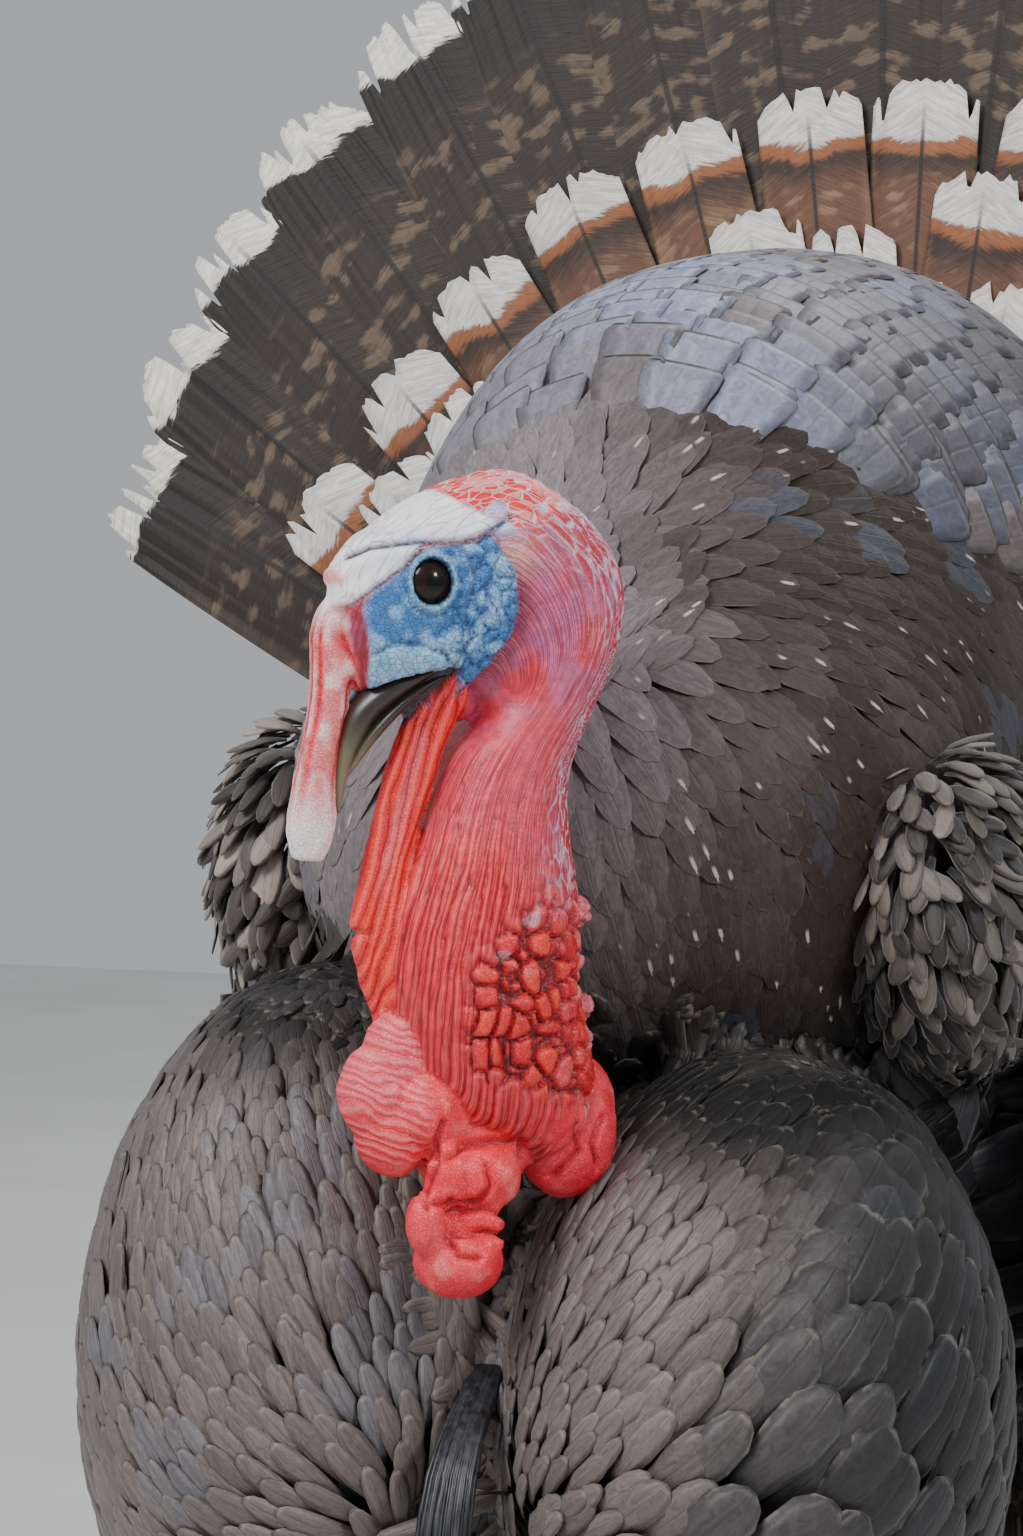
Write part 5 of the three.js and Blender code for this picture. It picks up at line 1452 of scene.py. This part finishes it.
# ------------------------------------------------------------------ wings
barred = banded_finish("primary_vane", 2.0, rgba(190, 182, 170), 2.0, rgba(58, 52, 48), rgba(206, 198, 186),
                       bar=13.0, bar_amount=0.95, spots=0.1)
secondary = banded_finish("secondary_vane", 3.0, rgba(196, 184, 168), 4.0, rgba(84, 70, 58),
                          rgba(156, 138, 118), bar=8.0, bar_amount=0.6, spots=0.4)
bronze = feather_finish("wing_covert_vane", rgba(30, 26, 26), 0.7, 0.5, barb=55.0, rough=0.4, gloss=0.6)
for name, flip in (("left", 1), ("right", -1)):
    wing_sets = (
        ("primaries", 10, 0.0, 0.40, 0.40, 1.0, 17.0, 0.0, barred, 30),
        ("secondaries", 14, 0.40, 1.0, 0.40, 1.0, 17.0, 0.6, secondary, 26),
        ("greater_coverts", 20, 0.0, 1.0, 0.26, 0.56, 12.0, 4.0, bronze, 12),
        ("median_coverts", 22, 0.0, 1.0, 0.16, 0.44, 10.5, 7.0, bronze, 10),
        ("lesser_coverts", 22, 0.02, 1.0, 0.06, 0.33, 10.0, 9.5, bronze, 10))
    for label, number, f0, f1, l0, l1, wide, lift, material, along_steps in wing_sets:
        fronts = mix(f0, f1, (np.arange(number) + 0.5) / number)
        spines = wing_row(fronts, l0, l1 + 0 * fronts, lift - 1.5 + 0.22 * (np.arange(number) % 2), flip)
        lengths = row_lengths(spines, number)
        done = {"primaries": [f"wing_primaries_{name}"], "secondaries": [f"wing_secondaries_{name}"],
                "greater_coverts": [f"wing_covers_{name}"]}.get(label, ())
        tint = linear(92, 84, 82) if material is bronze else np.ones(3)
        broad_vanes(f"wing_{label}_{name}", spines, lengths, widening(4.0, wide, 0.45, 0.25, 4), material,
                    done, across=15, along=along_steps, camber=1.6, corner=(12.0, 6.0),
                    fray=0.7, splits=1, tint=np.tile(tint, (number, 1)), shaft=0.7)


# ------------------------------------------------------------------ wing bends and thighs
def wrist_form(p, at):
    """Distance to the bend of a wing, an ellipsoid tipped forward about X."""
    q = p - at
    c, s = np.cos(0.3), np.sin(0.3)
    turned = np.stack([q[..., 0], q[..., 1] * c + q[..., 2] * s, -q[..., 1] * s + q[..., 2] * c], -1)
    return reach(turned, (0, 0, 0), WRIST_HALF)


def shoulder_tint(p):
    """Dark and pale grey brown by turns, with painted shade darkening the outer left side."""
    tone = smooth(0.4, 0.7, noise(p / 7, 87))[:, None]
    # painted shade: darker toward +X, away from the key light
    return mix(linear(58, 50, 46), linear(150, 138, 126), tone) * mix(1, 0.4, smooth(0, 80, p[:, 0]))[:, None]


def thigh_size(p):
    """Feather length and width on the thighs, smaller towards the hock."""
    high = smooth(170, 230, p[:, 2])
    return mix(14.0, 24.0, high), mix(7.0, 13.0, high)


def even(value):
    """The same value at every point."""
    return lambda p: np.full(p.shape[:-1], value)


shoulder_feather = feather_finish("shoulder_vane", rgba(150, 136, 120), 0.45, 0.2, barb=40.0, rough=0.55,
                                  gap=0.25)
for name, at, flip in (("left", WRIST, 1), ("right", WRIST_RIGHT, -1)):
    def bend(p, at=at):
        return wrist_form(p, at)

    tract = rows(bend, at, np.array([-0.35 * flip, 0.2, 0.9]), even(5.0), even(5.4), -3.0, start=0.02,
                 meridians=120, steps=120, comb=(0.3 * flip, 0.2, -0.2), reach_mm=34.0)
    tract = tract[0], unit(0.45 * tract[1] + np.array([0.15 * flip, 0.3, -0.85]))
    coat(f"shoulder_feathers_{name}", bend, tract, lambda p: (np.full(len(p), 17.0), np.full(len(p), 6.4)),
         shoulder_tint, shoulder_feather, "plumage_wing", [f"wing_wrist_{name}"], depth=4.0, rise=1.0,
         section=SIX, camber=0.16, sway=0.5, ragged=4.5, vary=0.25, widest=0.6, end=0.15)
thigh_feather = feather_finish("thigh_vane", rgba(110, 96, 84), 0.3, 0.2, barb=30.0, rough=0.6)
for flip in (1, -1):
    centre = THIGH_AT * (flip, 1, 1)
    tract = rows(thigh_form, centre, (0, 0, 1), even(6.0), even(7.0), -4.0, stop=3.0, start=0.7,
                 meridians=120, steps=120)
    side = "left" if flip > 0 else "right"
    coat(f"thigh_feathers_{side}", thigh_form, tract, thigh_size,
         lambda p: np.tile(linear(74, 62, 54), (len(p), 1)), thigh_feather, "plumage_dark", depth=4.0,
         rise=0.8)


# ------------------------------------------------------------------ legs
def scute(along, around, high):
    """Plate relief: rounded steps of the given height along the leg, offset on alternate columns."""
    column = np.floor(around)
    step = (along + 0.5 * (column % 2)) % 1
    plate = smooth(0, 0.2, step) * smooth(1.0, 0.82, step) - 0.5
    return high * (plate + 0.3 * np.cos(around * 2 * np.pi))


def scaled_pipe(path, radii, plate, around=40, per=26, squash=1.0, high=0.35, spin=None):
    """Tube with rows of plates pressed into its skin."""
    t = np.linspace(0, len(path) - 1, (len(path) - 1) * per + 1)
    spine = curve(path, t)
    radius = curve(np.asarray(radii, float)[:, None], t)[:, 0]
    along = unit(np.gradient(spine, axis=0))
    side = unit(np.cross(np.asarray(spin if spin is not None else (0.0, 0.0, 1.0), float), along))
    up = np.cross(along, side)
    angle = np.linspace(0, 2 * np.pi, around, endpoint=False)
    run = np.concatenate([[0], np.cumsum(np.linalg.norm(np.diff(spine, axis=0), axis=1))]) / plate
    relief = scute(run[:, None] + 0 * angle, angle[None] / (2 * np.pi) * 6 + 0 * run[:, None], high)
    ring = side[:, None] * np.cos(angle)[None, :, None] + squash * up[:, None] * np.sin(angle)[None, :, None]
    return shell(spine[:, None] + (radius[:, None] + relief)[..., None] * ring)


leg_skin = plain_finish("leg_skin", rgba(120, 98, 94), rgba(176, 152, 146), 160.0, 0.5, bump=0.4, coat=0.05)
horn_dark = plain_finish("claw_horn", rgba(44, 38, 34), rgba(92, 80, 68), 220.0, 0.38, stretch=(1, 1, 0.3),
                         bump=0.2, coat=0.2)
TOES = ((-0.05, 98, 7.0), (0.62, 78, 6.4), (-0.62, 76, 6.4), (np.pi - 0.25, 38, 5.2))
for name, flip in (("left", 1), ("right", -1)):
    turn = np.array([flip, 1, 1.0])
    at_x = STANCE_HALF
    shank = scaled_pipe(np.array([(at_x + 1, 46, HOCK_HEIGHT), (at_x + 0.5, 36, 132), (at_x, 20, 70),
                                  (at_x, 8, 26), (at_x, 5, 13)]) * turn, [10.5, 8, 7.2, 8.4, 9.4], 5.2,
                                  squash=1.22, spin=(1, 0, 0))
    hock = egg(np.array([at_x + 1, 44, HOCK_HEIGHT - 8]) * turn, (10.5, 12.5, 12))
    points, faces = join_shells([shank, hock])
    piece(f"shank_{name}_skin", mesh_from(f"shank_{name}_skin", points, faces), leg_skin,
          [f"shank_{name}"])
    spur = pipe(np.array([(at_x - 3, 20, 62), (at_x - 5, 38, 60), (at_x - 6, 49.5, 64)]) * turn,
                [5.4, 3.6, 0.7], 20, 8)
    piece(f"spur_{name}_horn", mesh_from(f"spur_{name}_horn", *spur), horn_dark, [f"spur_{name}"])
    shells, claws = [egg(np.array([at_x, 4, 12.0]) * turn, (11.5, 13.5, 11))], []
    for heading, length, radius in TOES:
        way = np.array([np.sin(heading) * flip, -np.cos(heading), 0])
        ankle = np.array([at_x * flip, 4, 0.0])
        stops = [(0, 11.5, radius + 1.5), (0.28, 7.6, radius), (0.52, 6.2, radius * 0.94),
                 (0.74, 5.4, radius * 0.82), (0.84, 5.0, radius * 0.6)]
        shells.append(scaled_pipe([ankle + way * length * f + (0, 0, z) for f, z, r in stops],
                                  [r for f, z, r in stops], 4.4, around=28, per=14, squash=0.82, high=0.4))
        claws.append(pipe([ankle + way * length * f + (0, 0, z) for f,
                           z in ((0.80, 5.4), (0.88, 6.4), (0.96, 4.4), (1.02, 1.0))],
                           [radius * 0.5, radius * 0.48, radius * 0.3, 0.5], 16, 6))
    points, faces = join_shells(shells)
    points[:, 2] = np.maximum(points[:, 2], SOLE_CLEAR)
    piece(f"foot_{name}_skin", mesh_from(f"foot_{name}_skin", points, faces), leg_skin,
          [f"foot_{name}"])
    points, faces = join_shells(claws)
    points[:, 2] = np.maximum(points[:, 2], SOLE_CLEAR)
    piece(f"claws_{name}", mesh_from(f"claws_{name}", points, faces), horn_dark)

# ------------------------------------------------------------------ bill, eyes and beard
def bill_finish():
    """Horn: blackish brown at the root, olive yellow towards the tip, with fine grain along it."""
    material, add = finish("bill_horn")
    place = add("TexCoord").outputs["Object"]
    height = add("SeparateXYZ", {0: place}).outputs[2]
    grain = grains(add, add("Mapping", {"Vector": place, "Scale": (1, 1, 0.25)}).outputs[0], 700.0, 4.0)
    level = plus(add, height, times(add, grain, 0.006))
    colour = blend_colour(add, ramp(add, level, 0.480, 0.462), rgba(34, 28, 26), rgba(120, 112, 84))
    colour = blend_colour(add, times(add, grain, 0.35), colour, rgba(70, 62, 54))
    bump = add("Bump", {"Strength": 0.2, "Distance": 0.0003, "Height": grain}).outputs[0]
    return covered(material, add,
                   {"Base Color": colour, "Roughness": 0.36, "Normal": bump, "Coat Weight": 0.2,
                    "Coat Roughness": 0.25})


def bill_half(path, depths, widths, keel_drawn):
    """Bill half: rings of depth across the path and width to the sides, drawn to a keel on the upper side."""
    t = np.linspace(0, len(path) - 1, (len(path) - 1) * 8 + 1)
    spine = curve([head_point(f, u) for f, u in path], t)
    depth = curve(np.asarray(depths, float)[:, None], t)[:, 0]
    width = curve(np.asarray(widths, float)[:, None], t)[:, 0]
    ahead = unit(np.gradient(spine, axis=0))
    keel = unit(np.cross(HEAD_LEFT, ahead))
    angle = np.linspace(0, 2 * np.pi, 40, endpoint=False)
    over = np.cos(angle) * (1 + keel_drawn * np.clip(np.cos(angle), 0, 1) ** 6)
    return shell(spine[:, None] + keel[:, None] * (depth[:, None] * over)[..., None] + HEAD_LEFT
                 * (width[:, None] * np.sin(angle))[..., None])


horn = bill_finish()
# bill: path (forward, up) from the root to the tip, half depths and half widths along it
UPPER_BILL = [
    (19.5, -16.6), (26, -19), (33, -22.6), (39, -28), (43, -36), (45, -44), (45.5, -51), (45.2, -54)]
UPPER_DEPTHS = [1.3, 2.6, 4.1, 4.1, 3.0, 2.0, 1.1, 0.4]
UPPER_WIDTHS = [9.6, 9.6, 8.6, 6.6, 4.6, 3.0, 1.7, 0.5]
LOWER_BILL = [(19, -18.6), (26.5, -23), (32.8, -28.8), (38.2, -35.4), (42.2, -41.8), (43.6, -45)]
LOWER_DEPTHS = [1.2, 2.0, 2.4, 2.1, 1.4, 0.5]
LOWER_WIDTHS = [9.0, 8.4, 7.0, 5.0, 2.8, 0.8]
upper_bill = bill_half(UPPER_BILL, UPPER_DEPTHS, UPPER_WIDTHS, -0.08)
lower_bill = bill_half(LOWER_BILL, LOWER_DEPTHS, LOWER_WIDTHS, 0.0)
piece("bill_upper_horn", mesh_from("bill_upper_horn", *upper_bill), horn, ["bill_upper"])
piece("bill_lower_horn", mesh_from("bill_lower_horn", *lower_bill), horn, ["bill_lower"])


def eye_finish():
    """Wet eye: black pupil, dark brown iris with fine rays, brown-black rim, under a clear glossy coat."""
    material, add = finish("eye_wet")
    face = add("Attribute", attribute_name="Gaze").outputs["Color"]
    split = add("SeparateColor", {0: face})
    off, turn = split.outputs[0], split.outputs[1]
    rays = grains(add, add("CombineXYZ", {0: times(add, turn, 40.0), 1: times(add, off, 3.0)}).outputs[0],
                  1.0, 2.0)
    iris = blend_colour(add, rays, rgba(14, 6, 5), rgba(40, 19, 13))
    colour = blend_colour(add, ramp(add, off, 0.34, 0.30), iris, rgba(4, 3, 3))
    colour = blend_colour(add, ramp(add, off, 0.62, 0.72), colour, rgba(18, 12, 10))
    return covered(material, add,
                   {"Base Color": colour, "Roughness": 0.3, "Coat Weight": 0.4, "Coat Roughness": 0.02,
                    "Specular IOR Level": 0.1})


wet = eye_finish()
for name, left in (("left", 1), ("right", -1)):
    polar = np.linspace(0.03, np.pi - 0.03, 40)[:, None]
    angle = np.linspace(0, 2 * np.pi, 48, endpoint=False)[None]
    bulge = 1 + 0.05 * np.exp(-(polar / 0.75) ** 2)
    ring = np.stack([np.sin(polar) * np.cos(angle), np.sin(polar) * np.sin(angle), np.cos(polar) + 0 * angle],
                    -1)
    local = ring * bulge[..., None] * EYE_RADIUS
    centre = head_point(EYE_AT[0], EYE_AT[1], left * (EYE_OUT - 0.9))
    points = centre + local[..., :1] * HEAD_FORWARD + local[..., 1:2] * UP + local[..., 2:] * HEAD_LEFT * left
    points, faces = shell(points if left < 0 else points[::-1])
    off = np.arccos(np.clip(unit(points - centre) @ (HEAD_LEFT * left), -1, 1))
    spin_at = np.arctan2((points - centre) @ UP, (points - centre) @ HEAD_FORWARD)
    gaze = np.stack([off, spin_at / (2 * np.pi) + 0.5, 0 * off], 1)
    piece(f"eye_{name}_ball", mesh_from(f"eye_{name}_ball", points, faces, None, {"Gaze": gaze}), wet,
          [f"eye_{name}"])


def bristles(count):
    """Beard of coarse strands: thin pipes from the cleft that hang, spread and end at different heights."""
    shells = []
    path = np.array([(1, -204, 300), (1.6, -234, 277), (1.2, -244, 235), (2.2, -240, 192), (2.8, -238, 170)],
                    float)
    for _ in range(count):
        turn, far = RNG.uniform(0, 2 * np.pi), np.sqrt(RNG.random())
        side = np.array([np.cos(turn), 0.8 * np.sin(turn), 0]) * far
        spread = np.array([4.0, 6.5, 7.5, 6.0, 4.5])[:, None]
        line = path + side * spread
        line[-1, 2] += RNG.uniform(0, 26)
        shells.append(pipe(line, [0.75, 0.8, 0.75, 0.6, 0.25], 5, 4))
    return join_shells(shells)


hair = plain_finish("beard_bristle", rgba(20, 20, 24), rgba(58, 58, 64), 500.0, 0.4, stretch=(1, 1, 0.1),
                    bump=0.1)
piece("beard_bristles", mesh_from("beard_bristles", *bristles(240)), hair,
      ["beard"])

# ------------------------------------------------------------------ camera, light and floor
back = np.array([np.sin(VIEW_TURN) * np.cos(VIEW_RISE), -np.cos(VIEW_TURN) * np.cos(VIEW_RISE),
                 np.sin(VIEW_RISE)])
camera_data = bpy.data.cameras.new("camera")
camera_data.lens = LENS
camera_data.sensor_fit = "VERTICAL"
camera_data.sensor_height = 36.0
camera_data.sensor_width = 24.0
camera = bpy.data.objects.new("camera", camera_data)
camera.location = np.array(VIEW_AIM) + back * VIEW_DISTANCE
camera.rotation_euler = (radians(90) - VIEW_RISE, 0, VIEW_TURN)
bpy.context.scene.collection.objects.link(camera)
bpy.context.scene.camera = camera

FLOOR_HALF = 3000.0
FLOOR_DROP = -0.5
floor_corners = [(x * FLOOR_HALF, y * FLOOR_HALF, FLOOR_DROP) for x,
                 y in ((-1, -1), (1, -1), (1, 1), (-1, 1))]
floor_mesh = mesh_from("floor", np.array(floor_corners), [np.array([[0, 1, 2, 3]])])
floor = bpy.data.objects.new("floor", floor_mesh)
bpy.context.scene.collection.objects.link(floor)
floor_mesh.materials.append(plain_finish("floor_pale", rgba(206, 205, 202), rgba(214, 213, 211), 6.0, 0.9,
                                         bump=0.02))

world = bpy.data.worlds.new("studio")
world.use_nodes = True
world.node_tree.nodes["Background"].inputs[0].default_value = (0.86, 0.9, 0.95, 1)
world.node_tree.nodes["Background"].inputs[1].default_value = 0.5
bpy.context.scene.world = world
for name, place, aim, size, power in (
        ("key", (-0.9, -1.7, 2.1), (0, -0.1, 0.42), 1.1, 62),
        ("glint", (1.05, -0.66, 1.14), (0, -0.1, 0.45), 0.24, 11),
        ("rim", (0.4, 1.6, 1.9), (0, 0, 0.5), 1.2, 20)):
    lamp = bpy.data.lights.new(name, "AREA")
    lamp.size = size
    lamp.energy = power
    made = bpy.data.objects.new(name, lamp)
    made.location = place
    way = np.array(aim) - np.array(place)
    made.rotation_euler = (np.arccos(-way[2] / np.linalg.norm(way)), 0, np.arctan2(-way[0], way[1]))
    bpy.context.scene.collection.objects.link(made)
